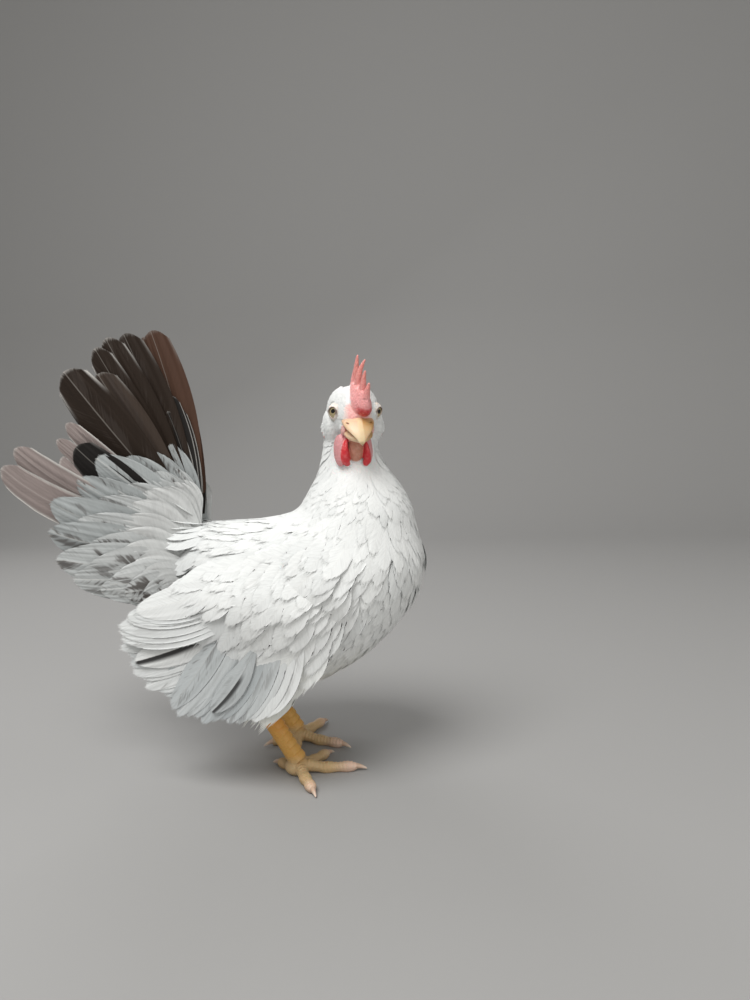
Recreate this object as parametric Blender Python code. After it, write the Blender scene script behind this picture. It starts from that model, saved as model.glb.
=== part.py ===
"""Japanese bantam hen, life size, standing still with its head turned to its right.

Units are metres. The body faces +X, its left side is +Y and up is +Z. The bird is laid out about the
point of the floor that lies midway between its feet, and moved at the end so that the origin is the
middle of the bounding box, at floor level.
"""

import math
import random

import bmesh
import bpy
from mathutils import Matrix, Vector

# Clearances and shared values
GAP = 0.00035
SEED = 20
RIGHT = -1
LEFT = 1
SIDE_NAMES = {RIGHT: "right", LEFT: "left"}
VANE_THICKNESS = 0.0006
VANE_SEPARATION = 0.0011
VANE_STATIONS = (0, 0.45, 0.84, 1.0)
VANE_ARCH = 0.0004
LENGTH_SPREAD = 0.015

# Torso: x, top, bottom, half width of each section
TORSO_SECTIONS = (
    (-0.0640, 0.1350, 0.1150, 0.0090),
    (-0.0570, 0.1430, 0.1000, 0.0200),
    (-0.0440, 0.1465, 0.0800, 0.0330),
    (-0.0260, 0.1470, 0.0610, 0.0430),
    (-0.0060, 0.1490, 0.0480, 0.0495),
    (0.0140, 0.1540, 0.0460, 0.0520),
    (0.0340, 0.1580, 0.0560, 0.0500),
    (0.0520, 0.1560, 0.0690, 0.0435),
    (0.0660, 0.1490, 0.0850, 0.0330),
    (0.0750, 0.1370, 0.1020, 0.0190),
)
TORSO_ENDS = ((-0.0665, 0.1250), (0.0795, 0.1215))
TORSO_SIDES = 22
TORSO_POWER = 2.2

# Neck: height, back x, front x, half width of each section
NECK_SECTIONS = (
    (0.1260, 0.0080, 0.0700, 0.0340),
    (0.1400, 0.0010, 0.0765, 0.0370),
    (0.1500, 0.0050, 0.0750, 0.0335),
    (0.1600, 0.0110, 0.0700, 0.0280),
    (0.1680, 0.0155, 0.0645, 0.0235),
    (0.1770, 0.0185, 0.0590, 0.0200),
    (0.1860, 0.0200, 0.0575, 0.0180),
    (0.1940, 0.0215, 0.0570, 0.0170),
    (0.2020, 0.0240, 0.0550, 0.0140),
)
NECK_SIDES = 20

# Head: its own frame has u forward, v to the bird's left and w up
HEAD_CENTRE = Vector((0.0430, -0.0080, 0.2022))
HEAD_AZIMUTH = math.radians(-69.7)
HEAD_PITCH = math.radians(22.0)
# u, half width, top, bottom of each section
HEAD_SECTIONS = (
    (-0.0185, 0.0075, 0.0060, -0.0080),
    (-0.0145, 0.0125, 0.0110, -0.0140),
    (-0.0080, 0.0146, 0.0145, -0.0180),
    (-0.0010, 0.0149, 0.0152, -0.0185),
    (0.0050, 0.0133, 0.0136, -0.0165),
    (0.0095, 0.0108, 0.0108, -0.0135),
    (0.0130, 0.0088, 0.0078, -0.0105),
    (0.0155, 0.0062, 0.0052, -0.0080),
)
HEAD_ENDS = ((-0.0205, -0.0010), (0.0168, -0.0010))
HEAD_SIDES = 18
HEAD_POWER = 2.15

EYE_RADIUS = 0.0042
EYE_PLACE = (0.0035, 0.0104, 0.0024)
LID_RADIUS = 0.0040
LID_THICKNESS = 0.0009
LID_OUT = 0.0137
EAR_PLACE = (-0.0062, 0.0155, -0.0020)
EAR_SIZE = (0.0016, 0.0016, 0.0011)
BALL_SEGMENTS = (14, 8)
SMALL_BALL_SEGMENTS = (8, 6)
CORE_SEGMENTS = (18, 9)

# Beak: u, half width, top, bottom of each section
BEAK_UPPER_SECTIONS = (
    (0.0110, 0.0088, 0.0034, -0.0038),
    (0.0155, 0.0083, 0.0029, -0.0040),
    (0.0200, 0.0066, 0.0014, -0.0043),
    (0.0240, 0.0043, -0.0008, -0.0049),
    (0.0266, 0.0026, -0.0031, -0.0059),
    (0.0281, 0.0012, -0.0053, -0.0071),
)
BEAK_UPPER_TIP = (0.0286, -0.0078)
BEAK_LOWER_SECTIONS = (
    (0.0110, 0.0070, -0.0045, -0.0080),
    (0.0155, 0.0064, -0.0046, -0.0082),
    (0.0200, 0.0050, -0.0050, -0.0082),
    (0.0236, 0.0030, -0.0058, -0.0080),
)
BEAK_LOWER_TIP = (0.0254, -0.0072)
BEAK_SIDES = 10
UPPER_BEAK_POWER = 1.7
LOWER_BEAK_POWER = 2.2
NOSTRIL_PLACE = (0.0178, 0.0054, 0.0004)
NOSTRIL_SIZE = (0.0018, 0.0014, 0.0007)

# Comb: outline as u, w, and how far the blade leans to the left at each point
COMB_OUTLINE = (
    (0.0100, 0.0050, 0.0000),
    (0.0165, 0.0040, 0.0012),
    (0.0205, 0.0068, 0.0030),
    (0.0212, 0.0150, 0.0040),
    (0.0196, 0.0234, 0.0042),
    (0.0160, 0.0180, 0.0036),
    (0.0128, 0.0282, 0.0030),
    (0.0088, 0.0200, 0.0022),
    (0.0048, 0.0322, 0.0020),
    (0.0008, 0.0238, 0.0012),
    (-0.0036, 0.0314, 0.0006),
    (-0.0068, 0.0200, 0.0004),
    (-0.0140, 0.0165, 0.0000),
    (-0.0132, 0.0130, 0.0000),
    (-0.0110, 0.0095, 0.0000),
)
COMB_HEART = (0.0050, 0.0120, 0.0012)
COMB_BASE_THICKNESS = 0.0084
COMB_TIP_THICKNESS = 0.0018
COMB_CHEEK_SHRINK = 0.62
# Share of the thickness at the rim, on the cheeks and at the heart of each face
COMB_FACE_SHARES = {1.0: 0.32, COMB_CHEEK_SHRINK: 0.5, 0.0: 0.45}

WATTLE_PLACE = (0.0168, 0.0072, -0.0160)
WATTLE_SHIFT = -0.0022
WATTLE_SIZE = (0.0046, 0.0022, 0.0098)
WATTLE_RIM_OFFSET = Vector((0.0034, 0, -0.0008))
WATTLE_RIM_SIZE = (0.0017, 0.0027, 0.0082)
WATTLE_BULB_OFFSET = Vector((0.0002, 0, -0.0066))
WATTLE_BULB_SIZE = (0.0038, 0.0028, 0.0030)
WATTLE_YAW = math.radians(42.0)
WATTLE_SPLAY = math.radians(-5.0)
EARLOBE_PLACE = (-0.0030, -0.0108)
EARLOBE_OUT = {RIGHT: 0.0172, LEFT: 0.0152}
EARLOBE_SIZE = (0.0030, 0.0020, 0.0046)

# Wing: places in the side plane as x, z
WING_PAD_CENTRE = (0.0060, 0.0430, 0.1100)
WING_PAD_SIZE = (0.0440, 0.0150, 0.0270)
WING_PAD_TILT = math.radians(14.0)
WING_SHEET_Y = 0.0520
WING_SHEET_TAPER = 0.09
WING_TIER_STEP = 0.0029

# Tail: polar layout about its root, angles from upright towards the back
TAIL_ROOT = (-0.0520, 0.1340)
TAIL_CORE_CENTRE = (-0.0600, 0.1340)
TAIL_CORE_SIZE = (0.0260, 0.0175, 0.0190)
TAIL_CORE_TURN = math.radians(58.0)
TAIL_MIDLINE_Y = 0.0032
TAIL_SPLAY_Y = 0.0250
TAIL_SPLAY_RADIUS = 0.1200
TAIL_START_ANGLE = 12.0
TAIL_FAR_TURN = {RIGHT: 0.0, LEFT: 4.0}
TAIL_SPLAY_ANGLE = 57.0
RECTRIX_ANGLES = (12.4, 19.6, 25.5, 30.5, 38.0, 50.0, 62.5, 67.5)
RECTRIX_LENGTHS = (0.1245, 0.1275, 0.1295, 0.116, 0.125, 0.090, 0.113, 0.117)
RECTRIX_BENDS = (-0.003, -0.002, -0.001, 0.0, 0.001, 0.003, 0.008, 0.011)
RECTRIX_WIDTH = 0.0240
COVERT_ANGLES = (15.0, 27.0, 39.0, 52.0, 65.0, 79.0, 92.0, 105.0, 119.0, 133.0)
COVERT_LENGTHS = (0.072, 0.062, 0.060, 0.068, 0.080, 0.092, 0.079, 0.064, 0.050, 0.042)
COVERT_BENDS = (-0.001, -0.001, -0.001, 0.0, 0.002, 0.004, 0.004, 0.003, 0.002, 0.001)
COVERT_WIDTH = 0.0190
TAIL_TIER_STEP = 0.0034
TAIL_ROOT_DEPTH = 0.013
TAIL_LIFT_REACH = 0.025
TAIL_NEAR_RADIUS = 0.024
TAIL_STATIONS = (0, 0.35, 0.75, 0.94, 1.0)

# Saddle feathers: places in the side plane, and how far out the roots and the tips lie
SADDLE_ROOTS = ((-0.0250, 0.1180), (-0.0300, 0.1330))
SADDLE_TIPS = ((-0.0760, 0.1030), (-0.0830, 0.1120), (-0.0840, 0.1230))
SADDLE_SHEET_Y = (0.0330, 0.0360)
SADDLE_WIDTH = 0.0150
SADDLE_COUNT = 6

# Legs: places of the right leg and of the left leg, which differ a little
FOOT_PLACES = {RIGHT: (0.0050, -0.0225), LEFT: (-0.0080, 0.0220)}
HOCK_OFFSET = Vector((-0.0135, -0.0005, 0.0360))
SHANK_FOOT_HEIGHT = 0.0075
SHANK_RADII = (0.0052, 0.0049, 0.0048, 0.0050, 0.0056, 0.0060)
SCUTE_COUNT = 8
SCUTE_STEP = 0.00035
TOE_RADIUS = 0.0030
TOE_TIP_RADIUS = 0.0021
TOE_ROOT_HEIGHT = 0.0055
TOE_AXIS_HEIGHT = 0.0025
CLAW_LENGTH = 0.0065
CLAW_RADIUS = 0.0014
CLAW_GAP = 0.0004
FOOT_PAD_HEIGHT = 0.0042
FOOT_PAD_SIZE = (0.0078, 0.0074, 0.0052)
SHANK_SIDES = 10
TOE_SIDES = 8
CLAW_SIDES = 6
THIGH_SIDES = 12
THIGH_LEAN = 0.10
THIGH_FORWARD = 0.006
THIGH_OUT = 0.002
THIGH_DEPTH = 1.1
THIGH_CAP = 0.001
TOE_JOINTS = {"middle": 3, "outer": 3, "inner": 3, "hind": 2}
TOE_BULGE = 0.00022
TOE_DROP = 2.2
# Azimuth in degrees from +X and length with the claw, for each toe
TOES = {
    RIGHT: {"middle": (10.0, 0.039), "outer": (-59.0, 0.034), "inner": (62.0, 0.031), "hind": (150.0, 0.021)},
    LEFT: {"middle": (-16.0, 0.038), "outer": (69.0, 0.034), "inner": (-77.0, 0.031), "hind": (215.0, 0.022)},
}
THIGH_SECTIONS = (
    (0.0800, 0.0180),
    (0.0620, 0.0175),
    (0.0510, 0.0140),
    (0.0440, 0.0098),
    (0.0405, 0.0072),
)

WHITE = (0.86, 0.87, 0.88)
BLACK_BROWN = (0.11, 0.08, 0.065)
COMB_RED = (0.78, 0.20, 0.20)
WATTLE_RED = (0.75, 0.08, 0.09)
BEAK_HORN = (0.82, 0.62, 0.36)
LEG_YELLOW = (0.80, 0.50, 0.18)
CLAW_HORN = (0.72, 0.60, 0.52)
EYE_OLIVE = (0.30, 0.22, 0.05)
LOBE_PINK = (0.80, 0.45, 0.45)


def clear_scene():
    for obj in list(bpy.data.objects):
        bpy.data.objects.remove(obj, do_unlink=True)


def make_material(name, colour, roughness):
    material = bpy.data.materials.new(name)
    material.use_nodes = True
    shader = material.node_tree.nodes["Principled BSDF"]
    shader.inputs["Base Color"].default_value = (*colour, 1.0)
    shader.inputs["Roughness"].default_value = roughness
    shader.inputs["Metallic"].default_value = 0.0
    return material


def mesh_object(name, points, faces):
    """An object of these points and faces, with its normals facing out."""
    mesh = bpy.data.meshes.new(name)
    mesh.from_pydata([tuple(p) for p in points], [], faces)
    shape = bmesh.new()
    shape.from_mesh(mesh)
    bmesh.ops.triangulate(shape, faces=[f for f in shape.faces if len(f.verts) > 3])
    bmesh.ops.recalc_face_normals(shape, faces=shape.faces)
    if shape.calc_volume(signed=True) < 0:
        bmesh.ops.reverse_faces(shape, faces=shape.faces)
    shape.to_mesh(mesh)
    shape.free()
    obj = bpy.data.objects.new(name, mesh)
    bpy.context.scene.collection.objects.link(obj)
    return obj


def loft(name, rings, start, end):
    """A closed skin over rings of equal count, closed by a point beyond each end."""
    count = len(rings[0])
    points = [p for ring in rings for p in ring] + [start, end]
    first, last = len(points) - 2, len(points) - 1
    faces = []
    for r in range(len(rings) - 1):
        low, high = r * count, (r + 1) * count
        for i in range(count):
            j = (i + 1) % count
            faces.append((low + i, low + j, high + j, high + i))
    top = (len(rings) - 1) * count
    for i in range(count):
        j = (i + 1) % count
        faces.append((first, j, i))
        faces.append((last, top + i, top + j))
    return mesh_object(name, points, faces)


def oval_ring(centre, side, up, half_width, rise, fall, count, power=2.0):
    """Points round an oval that reaches rise above its centre and fall below it."""
    ring = []
    for i in range(count):
        angle = 2 * math.pi * i / count
        c, s = math.cos(angle), math.sin(angle)
        across = math.copysign(abs(c) ** (2 / power), c) * half_width
        height = math.copysign(abs(s) ** (2 / power), s) * (rise if s > 0 else fall)
        ring.append(centre + side * across + up * height)
    return ring


def smooth_table(rows, steps):
    """Rows of numbers with Catmull-Rom rows added between them."""
    result = []
    last = len(rows) - 1
    for i in range(last):
        before, here = rows[max(i - 1, 0)], rows[i]
        after, beyond = rows[i + 1], rows[min(i + 2, last)]
        for k in range(steps):
            t = k / steps
            result.append(tuple(
                0.5 * (2 * b + (c - a) * t + (2 * a - 5 * b + 4 * c - d) * t * t
                       + (3 * b - a - 3 * c + d) * t ** 3)
                for a, b, c, d in zip(before, here, after, beyond)
            ))
    return result + [tuple(rows[-1])]


def evaluated_mesh(obj):
    graph = bpy.context.evaluated_depsgraph_get()
    return bpy.data.meshes.new_from_object(obj.evaluated_get(graph))


def remove_object(obj):
    bpy.data.objects.remove(obj, do_unlink=True)


def boolean(target, others, operation, solver="MANIFOLD"):
    """Joins the other closed meshes to the target, or cuts them from it, and removes them."""
    group = bpy.data.collections.new("operands")
    bpy.context.scene.collection.children.link(group)
    for obj in others:
        group.objects.link(obj)
    modifier = target.modifiers.new("Boolean", "BOOLEAN")
    modifier.operation = operation
    modifier.operand_type = "COLLECTION"
    modifier.collection = group
    modifier.solver = solver
    bpy.context.view_layer.update()
    mesh = evaluated_mesh(target)
    target.modifiers.clear()
    target.data = mesh
    for obj in others:
        remove_object(obj)
    bpy.data.collections.remove(group)
    return target


def islands_of(shape):
    """The separate surfaces of a bmesh, as lists of faces."""
    left = set(shape.faces)
    islands = []
    while left:
        seed = left.pop()
        island, stack = [seed], [seed]
        while stack:
            for edge in stack.pop().edges:
                for face in edge.link_faces:
                    if face in left:
                        left.discard(face)
                        island.append(face)
                        stack.append(face)
        islands.append(island)
    return islands


def island_volume(faces):
    total = 0.0
    for face in faces:
        corners = [v.co for v in face.verts]
        for i in range(1, len(corners) - 1):
            total += corners[0].dot(corners[i].cross(corners[i + 1])) / 6
    return total


def keep_largest(obj):
    """Drops every surface of the mesh but the one that encloses most."""
    shape = bmesh.new()
    shape.from_mesh(obj.data)
    islands = sorted(islands_of(shape), key=island_volume)
    dropped = [face for island in islands[:-1] for face in island]
    if dropped:
        bmesh.ops.delete(shape, geom=dropped, context="FACES")
    bmesh.ops.triangulate(shape, faces=[f for f in shape.faces if len(f.verts) > 3])
    shape.to_mesh(obj.data)
    shape.free()
    return obj


def finish_node(obj, name, material):
    """Names the object, gives it its material and shades it smooth but for its sharp edges."""
    keep_largest(obj)
    obj.name = name
    obj.data.name = name
    obj.data.materials.clear()
    obj.data.materials.append(material)
    obj.data.shade_smooth()
    obj.data.set_sharp_from_angle(angle=math.radians(40.0))
    return obj


def ellipsoid(name, centre, size, turn=Matrix.Identity(3), around=16, up=10):
    shape = bmesh.new()
    bmesh.ops.create_uvsphere(shape, u_segments=around, v_segments=up, radius=1.0)
    points = [turn @ Vector((v.co.x * size[0], v.co.y * size[1], v.co.z * size[2])) + Vector(centre)
              for v in shape.verts]
    faces = [[v.index for v in f.verts] for f in shape.faces]
    shape.free()
    return mesh_object(name, points, faces)


def box(name, low, high):
    points = [(x, y, z) for x in (low[0], high[0]) for y in (low[1], high[1]) for z in (low[2], high[2])]
    faces = [(0, 1, 3, 2), (4, 5, 7, 6), (0, 1, 5, 4), (2, 3, 7, 6), (0, 2, 6, 4), (1, 3, 7, 5)]
    return mesh_object(name, points, faces)


# Torso and neck


def torso_solid(pad=0.0):
    rings = []
    for x, top, bottom, half_width in smooth_table(TORSO_SECTIONS, 2):
        middle = (top + bottom) / 2
        half = (top - bottom) / 2 + pad
        rings.append(oval_ring(Vector((x, 0, middle)), Vector((0, 1, 0)), Vector((0, 0, 1)),
                               half_width + pad, half, half, TORSO_SIDES, TORSO_POWER))
    (rear_x, rear_z), (front_x, front_z) = TORSO_ENDS
    return loft("torso", rings, Vector((rear_x - pad, 0, rear_z)), Vector((front_x + pad, 0, front_z)))


def neck_solid(pad=0.0):
    rings = []
    for z, back, front, half_width in NECK_SECTIONS:
        half = (front - back) / 2 + pad
        rings.append(oval_ring(Vector(((back + front) / 2, 0, z)), Vector((1, 0, 0)), Vector((0, 1, 0)),
                               half, half_width + pad, half_width + pad, NECK_SIDES))
    low, high = NECK_SECTIONS[0], NECK_SECTIONS[-1]
    return loft("neck", rings, Vector(((low[1] + low[2]) / 2, 0, low[0] - 0.002)),
                Vector(((high[1] + high[2]) / 2, 0, high[0] + 0.003)))


# Head


def head_axes():
    level = Vector((math.cos(HEAD_AZIMUTH), math.sin(HEAD_AZIMUTH), 0))
    forward = level * math.cos(HEAD_PITCH) - Vector((0, 0, 1)) * math.sin(HEAD_PITCH)
    left = Vector((-math.sin(HEAD_AZIMUTH), math.cos(HEAD_AZIMUTH), 0))
    return forward, left, forward.cross(left)


def head_turn():
    forward, left, up = head_axes()
    return Matrix((forward, left, up)).transposed()


def in_head(u, v, w):
    forward, left, up = head_axes()
    return HEAD_CENTRE + forward * u + left * v + up * w


def head_loft(name, sections, ends, count, power, pad=0.0):
    forward, left, up = head_axes()
    rings = []
    for u, half_width, top, bottom in sections:
        middle = (top + bottom) / 2
        half = (top - bottom) / 2 + pad
        rings.append(oval_ring(in_head(u, 0, middle), left, up, half_width + pad, half, half, count, power))
    (back_u, back_w), (front_u, front_w) = ends
    return loft(name, rings, in_head(back_u - pad, 0, back_w), in_head(front_u + pad, 0, front_w))


def head_solid(pad=0.0):
    sections = smooth_table(HEAD_SECTIONS, 2)
    return head_loft("head", sections, HEAD_ENDS, HEAD_SIDES, HEAD_POWER, pad)


def ring_solid(name, centre, normal, radius, thickness, around=14, sides=5):
    """A ring of round section, such as the rim of an eyelid."""
    axis = normal.normalized()
    first = axis.orthogonal().normalized()
    second = axis.cross(first)
    points, faces = [], []
    for i in range(around):
        angle = 2 * math.pi * i / around
        out = first * math.cos(angle) + second * math.sin(angle)
        for k in range(sides):
            turn = 2 * math.pi * k / sides
            reach = out * (radius + thickness * math.cos(turn))
            points.append(centre + reach + axis * thickness * math.sin(turn))
            a, b = i * sides + k, i * sides + (k + 1) % sides
            c, d = ((i + 1) % around) * sides + (k + 1) % sides, ((i + 1) % around) * sides + k
            faces.append((a, b, c, d))
    return mesh_object(name, points, faces)


def eye_centre(side):
    u, v, w = EYE_PLACE
    return in_head(u, side * v, w)


def build_head(materials):
    head = head_solid()
    left = head_axes()[1]
    lids = [ring_solid("lid", in_head(EYE_PLACE[0], side * LID_OUT, EYE_PLACE[2]), left * side,
                       LID_RADIUS, LID_THICKNESS) for side in (RIGHT, LEFT)]
    boolean(head, lids, "UNION")
    ears = [ellipsoid("ear", in_head(EAR_PLACE[0], side * EAR_PLACE[1], EAR_PLACE[2]), EAR_SIZE,
                      head_turn(), *SMALL_BALL_SEGMENTS) for side in (RIGHT, LEFT)]
    sockets = [ellipsoid("socket", eye_centre(side), [EYE_RADIUS + GAP] * 3, head_turn(), *BALL_SEGMENTS)
               for side in (RIGHT, LEFT)]
    boolean(head, sockets + ears, "DIFFERENCE")
    finish_node(head, "head", materials["feather"])
    for side in (RIGHT, LEFT):
        eye = ellipsoid("eye", eye_centre(side), [EYE_RADIUS] * 3, head_turn(), *BALL_SEGMENTS)
        finish_node(eye, "eye_" + SIDE_NAMES[side], materials["eye"])
        build_earlobe(side, materials)
        build_wattle(side, materials)


def build_earlobe(side, materials):
    u, w = EARLOBE_PLACE
    place = in_head(u, side * EARLOBE_OUT[side], w)
    lobe = ellipsoid("earlobe", place, EARLOBE_SIZE, head_turn(), *BALL_SEGMENTS)
    boolean(lobe, [head_solid(GAP)], "DIFFERENCE")
    boolean(lobe, [neck_solid(GAP)], "DIFFERENCE")
    finish_node(lobe, "earlobe_" + SIDE_NAMES[side], materials["lobe"])


def build_wattle(side, materials):
    """A hanging drop, thick at its rim and folded down its middle."""
    u, v, w = WATTLE_PLACE
    level = Matrix.Rotation(HEAD_AZIMUTH, 3, "Z")
    turn = level @ Matrix.Rotation(-side * WATTLE_YAW, 3, "Z") @ Matrix.Rotation(side * WATTLE_SPLAY, 3, "X")
    centre = in_head(u, side * v + WATTLE_SHIFT, w)
    wattle = ellipsoid("wattle", centre, WATTLE_SIZE, turn, *BALL_SEGMENTS)
    rim = ellipsoid("rim", centre + turn @ WATTLE_RIM_OFFSET, WATTLE_RIM_SIZE, turn, *SMALL_BALL_SEGMENTS)
    bulb = ellipsoid("bulb", centre + turn @ WATTLE_BULB_OFFSET, WATTLE_BULB_SIZE, turn, *SMALL_BALL_SEGMENTS)
    boolean(wattle, [rim, bulb], "UNION")
    boolean(wattle, [head_solid(GAP)], "DIFFERENCE")
    boolean(wattle, [neck_solid(GAP)], "DIFFERENCE")
    boolean(wattle, [beak_lower_solid(GAP)], "DIFFERENCE")
    finish_node(wattle, "wattle_" + SIDE_NAMES[side], materials["wattle"])


def beak_solid(name, sections, tip, power, pad=0.0):
    ends = ((sections[0][0] - 0.0005, (sections[0][2] + sections[0][3]) / 2), tip)
    return head_loft(name, smooth_table(sections, 2), ends, BEAK_SIDES, power, pad)


def beak_lower_solid(pad=0.0):
    return beak_solid("beak_lower", BEAK_LOWER_SECTIONS, BEAK_LOWER_TIP, LOWER_BEAK_POWER, pad)


def beak_upper_solid(pad=0.0):
    return beak_solid("beak_upper", BEAK_UPPER_SECTIONS, BEAK_UPPER_TIP, UPPER_BEAK_POWER, pad)


def build_beak(materials):
    upper = beak_upper_solid()
    boolean(upper, [head_solid(GAP)], "DIFFERENCE")
    boolean(upper, [beak_lower_solid(GAP)], "DIFFERENCE")
    u, v, w = NOSTRIL_PLACE
    nostrils = [ellipsoid("nostril", in_head(u, side * v, w), NOSTRIL_SIZE, head_turn(), *SMALL_BALL_SEGMENTS)
                for side in (RIGHT, LEFT)]
    boolean(upper, nostrils, "DIFFERENCE")
    finish_node(upper, "beak_upper", materials["beak"])
    lower = beak_lower_solid()
    boolean(lower, [head_solid(GAP)], "DIFFERENCE")
    finish_node(lower, "beak_lower", materials["beak"])


def build_comb(materials):
    """A single comb: a blade cut into points, thick along its base and thin at its tips."""
    low = min(w for _, w, _ in COMB_OUTLINE)
    high = max(w for _, w, _ in COMB_OUTLINE)
    points = []
    for side in (RIGHT, LEFT):
        for shrink in (1.0, COMB_CHEEK_SHRINK):
            for u, w, lean in COMB_OUTLINE:
                heart_u, heart_w, heart_lean = COMB_HEART
                at_u = heart_u + (u - heart_u) * shrink
                at_w = heart_w + (w - heart_w) * shrink
                at_v = heart_lean + (lean - heart_lean) * shrink
                rise = (at_w - low) / (high - low)
                thick = COMB_BASE_THICKNESS + (COMB_TIP_THICKNESS - COMB_BASE_THICKNESS) * rise
                points.append(in_head(at_u, at_v + side * thick * COMB_FACE_SHARES[shrink], at_w))
        bulge = side * COMB_BASE_THICKNESS * COMB_FACE_SHARES[0.0]
        points.append(in_head(COMB_HEART[0], COMB_HEART[2] + bulge, COMB_HEART[1]))
    count = len(COMB_OUTLINE)
    block = 2 * count + 1
    faces = []
    for i in range(count):
        j = (i + 1) % count
        for base in (0, block):
            faces.append((base + i, base + j, base + count + j))
            faces.append((base + i, base + count + j, base + count + i))
            faces.append((base + count + i, base + count + j, base + 2 * count))
        faces.append((i, j, block + j, block + i))
    comb = mesh_object("comb", points, faces)
    boolean(comb, [head_solid(GAP)], "DIFFERENCE")
    boolean(comb, [beak_upper_solid(GAP)], "DIFFERENCE")
    finish_node(comb, "comb", materials["comb"])


# Feathers


def vane_profile(s):
    """Half width of a feather, as a share of its greatest, from quill 0 to tip 1."""
    body = 0.34 + 0.66 * math.sin(min(s / 0.72, 1.0) * math.pi / 2) ** 1.3
    if s <= 0.78:
        return body
    return max(body * math.sqrt(max(1 - ((s - 0.78) / 0.22) ** 2, 0.0)), 0.16)


def vane_solid(centre_line, across, outward, widths, slopes, arch):
    """A thin closed blade along a line, with a low ridge along its shaft."""
    rings = []
    for centre, side, out, width, slope in zip(centre_line, across, outward, widths, slopes):
        top, bottom = [], []
        for share in (-1, 0, 1):
            place = centre + side * (share * width) + out * (share * width * slope + (1 - abs(share)) * arch)
            half = VANE_THICKNESS / 2
            top.append(place + out * half)
            bottom.append(place - out * half)
        rings.append(top + bottom)
    points = [p for ring in rings for p in ring]
    faces = []
    for k in range(len(rings) - 1):
        low, high = k * 6, (k + 1) * 6
        for j in (0, 1):
            for row in (0, 3):
                a, b = low + row + j, low + row + j + 1
                c, d = high + row + j + 1, high + row + j
                faces.append((a, b, c))
                faces.append((a, c, d))
        for j in (0, 2):
            faces.append((low + j, high + j, high + j + 3, low + j + 3))
    end = (len(rings) - 1) * 6
    for start in (0, end):
        for j in (0, 1):
            faces.append((start + j, start + j + 1, start + j + 4, start + j + 3))
    return mesh_object("vane", points, faces)


def sheet_vane(root, tip, half_width, sheet, side, slopes, bend, stations):
    """A vane whose shaft runs from root to tip in the side plane and lies on the sheet y(x, z)."""
    root, tip = Vector(root), Vector(tip)
    along = tip - root
    normal = Vector((-along.y, along.x)).normalized()
    line, across, outward, widths, tilt = [], [], [], [], []
    for s in stations:
        flat = root + along * s + normal * (bend * 4 * s * (1 - s))
        tangent = (along + normal * (bend * 4 * (1 - 2 * s))).normalized()
        cross = Vector((-tangent.y, tangent.x))
        line.append(Vector((flat.x, side * sheet(flat.x, flat.y, s), flat.y)))
        across.append(Vector((cross.x, 0, cross.y)))
        outward.append(Vector((0, side, 0)))
        widths.append(half_width * vane_profile(s))
        tilt.append(slopes[0] + (slopes[1] - slopes[0]) * s)
    return vane_solid(line, across, outward, widths, tilt, VANE_ARCH)


def along_route(points, share):
    """The place at this share, 0 to 1, of an open route of points."""
    lengths = [(Vector(b) - Vector(a)).length for a, b in zip(points, points[1:])]
    left = share * sum(lengths)
    for a, b, length in zip(points, points[1:], lengths):
        if left <= length + 1e-9:
            return Vector(a) + (Vector(b) - Vector(a)) * (left / length)
        left -= length
    return Vector(points[-1])


def route_length(points):
    return sum((Vector(b) - Vector(a)).length for a, b in zip(points, points[1:]))


def tier(count, roots, tips, half_width, sheet, side, draw):
    """A row of vanes laid like shingles, from the route of roots to the route of tips."""
    root_gap = route_length(roots) / (count - 1)
    tip_gap = route_length(tips) / (count - 1)
    slopes = (VANE_SEPARATION / root_gap, VANE_SEPARATION / tip_gap)
    vanes = []
    for i in range(count):
        share = i / (count - 1)
        root, tip = along_route(roots, share), along_route(tips, share)
        tip = root + (tip - root) * (1 + draw.uniform(-LENGTH_SPREAD, LENGTH_SPREAD))
        vanes.append(sheet_vane(root, tip, half_width, sheet, side, slopes, FLIGHT_BEND, VANE_STATIONS))
    return vanes


# Wings


def wing_sheet(level):
    """How far out a tier of the wing lies at a place of the side plane."""
    def height(x, z, s):
        return WING_SHEET_Y + WING_SHEET_TAPER * min(x, 0.0) + WING_TIER_STEP * level
    return height


FLIGHT_BEND = 0.002
# Each tier of the wing: count, route of roots, route of tips, half width and how many tiers lie under it
WING_TIERS = (
    (5, ((-0.0020, 0.0880), (-0.0100, 0.1060)),
     ((-0.0620, 0.0490), (-0.0720, 0.0555), (-0.0818, 0.0690), (-0.0858, 0.0785)), 0.0078, 0),
    (7, ((0.0240, 0.0930), (-0.0120, 0.1100)),
     ((-0.0113, 0.0421), (-0.0249, 0.0405), (-0.0423, 0.0401), (-0.0572, 0.0445)), 0.0078, 1),
    (4, ((-0.0180, 0.1120), (-0.0140, 0.1240)),
     ((-0.0850, 0.0810), (-0.0825, 0.0905), (-0.0740, 0.1000)), 0.0090, 1),
    (6, ((0.0330, 0.1020), (-0.0060, 0.1210)),
     ((0.0080, 0.0720), (-0.0180, 0.0700), (-0.0420, 0.0780)), 0.0075, 2),
)


def build_wing(side, materials):
    draw = random.Random(SEED + side)
    x, y, z = WING_PAD_CENTRE
    turn = Matrix.Rotation(-WING_PAD_TILT, 3, "Y")
    wing = ellipsoid("wing", (x, side * y, z), WING_PAD_SIZE, turn, *CORE_SEGMENTS)
    vanes = []
    for count, roots, tips, half_width, level in WING_TIERS:
        vanes += tier(count, roots, tips, half_width, wing_sheet(level), side, draw)
    boolean(wing, vanes, "UNION")
    boolean(wing, [torso_solid(GAP)], "DIFFERENCE")
    finish_node(wing, "wing_" + SIDE_NAMES[side], materials["feather"])


# Tail


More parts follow.
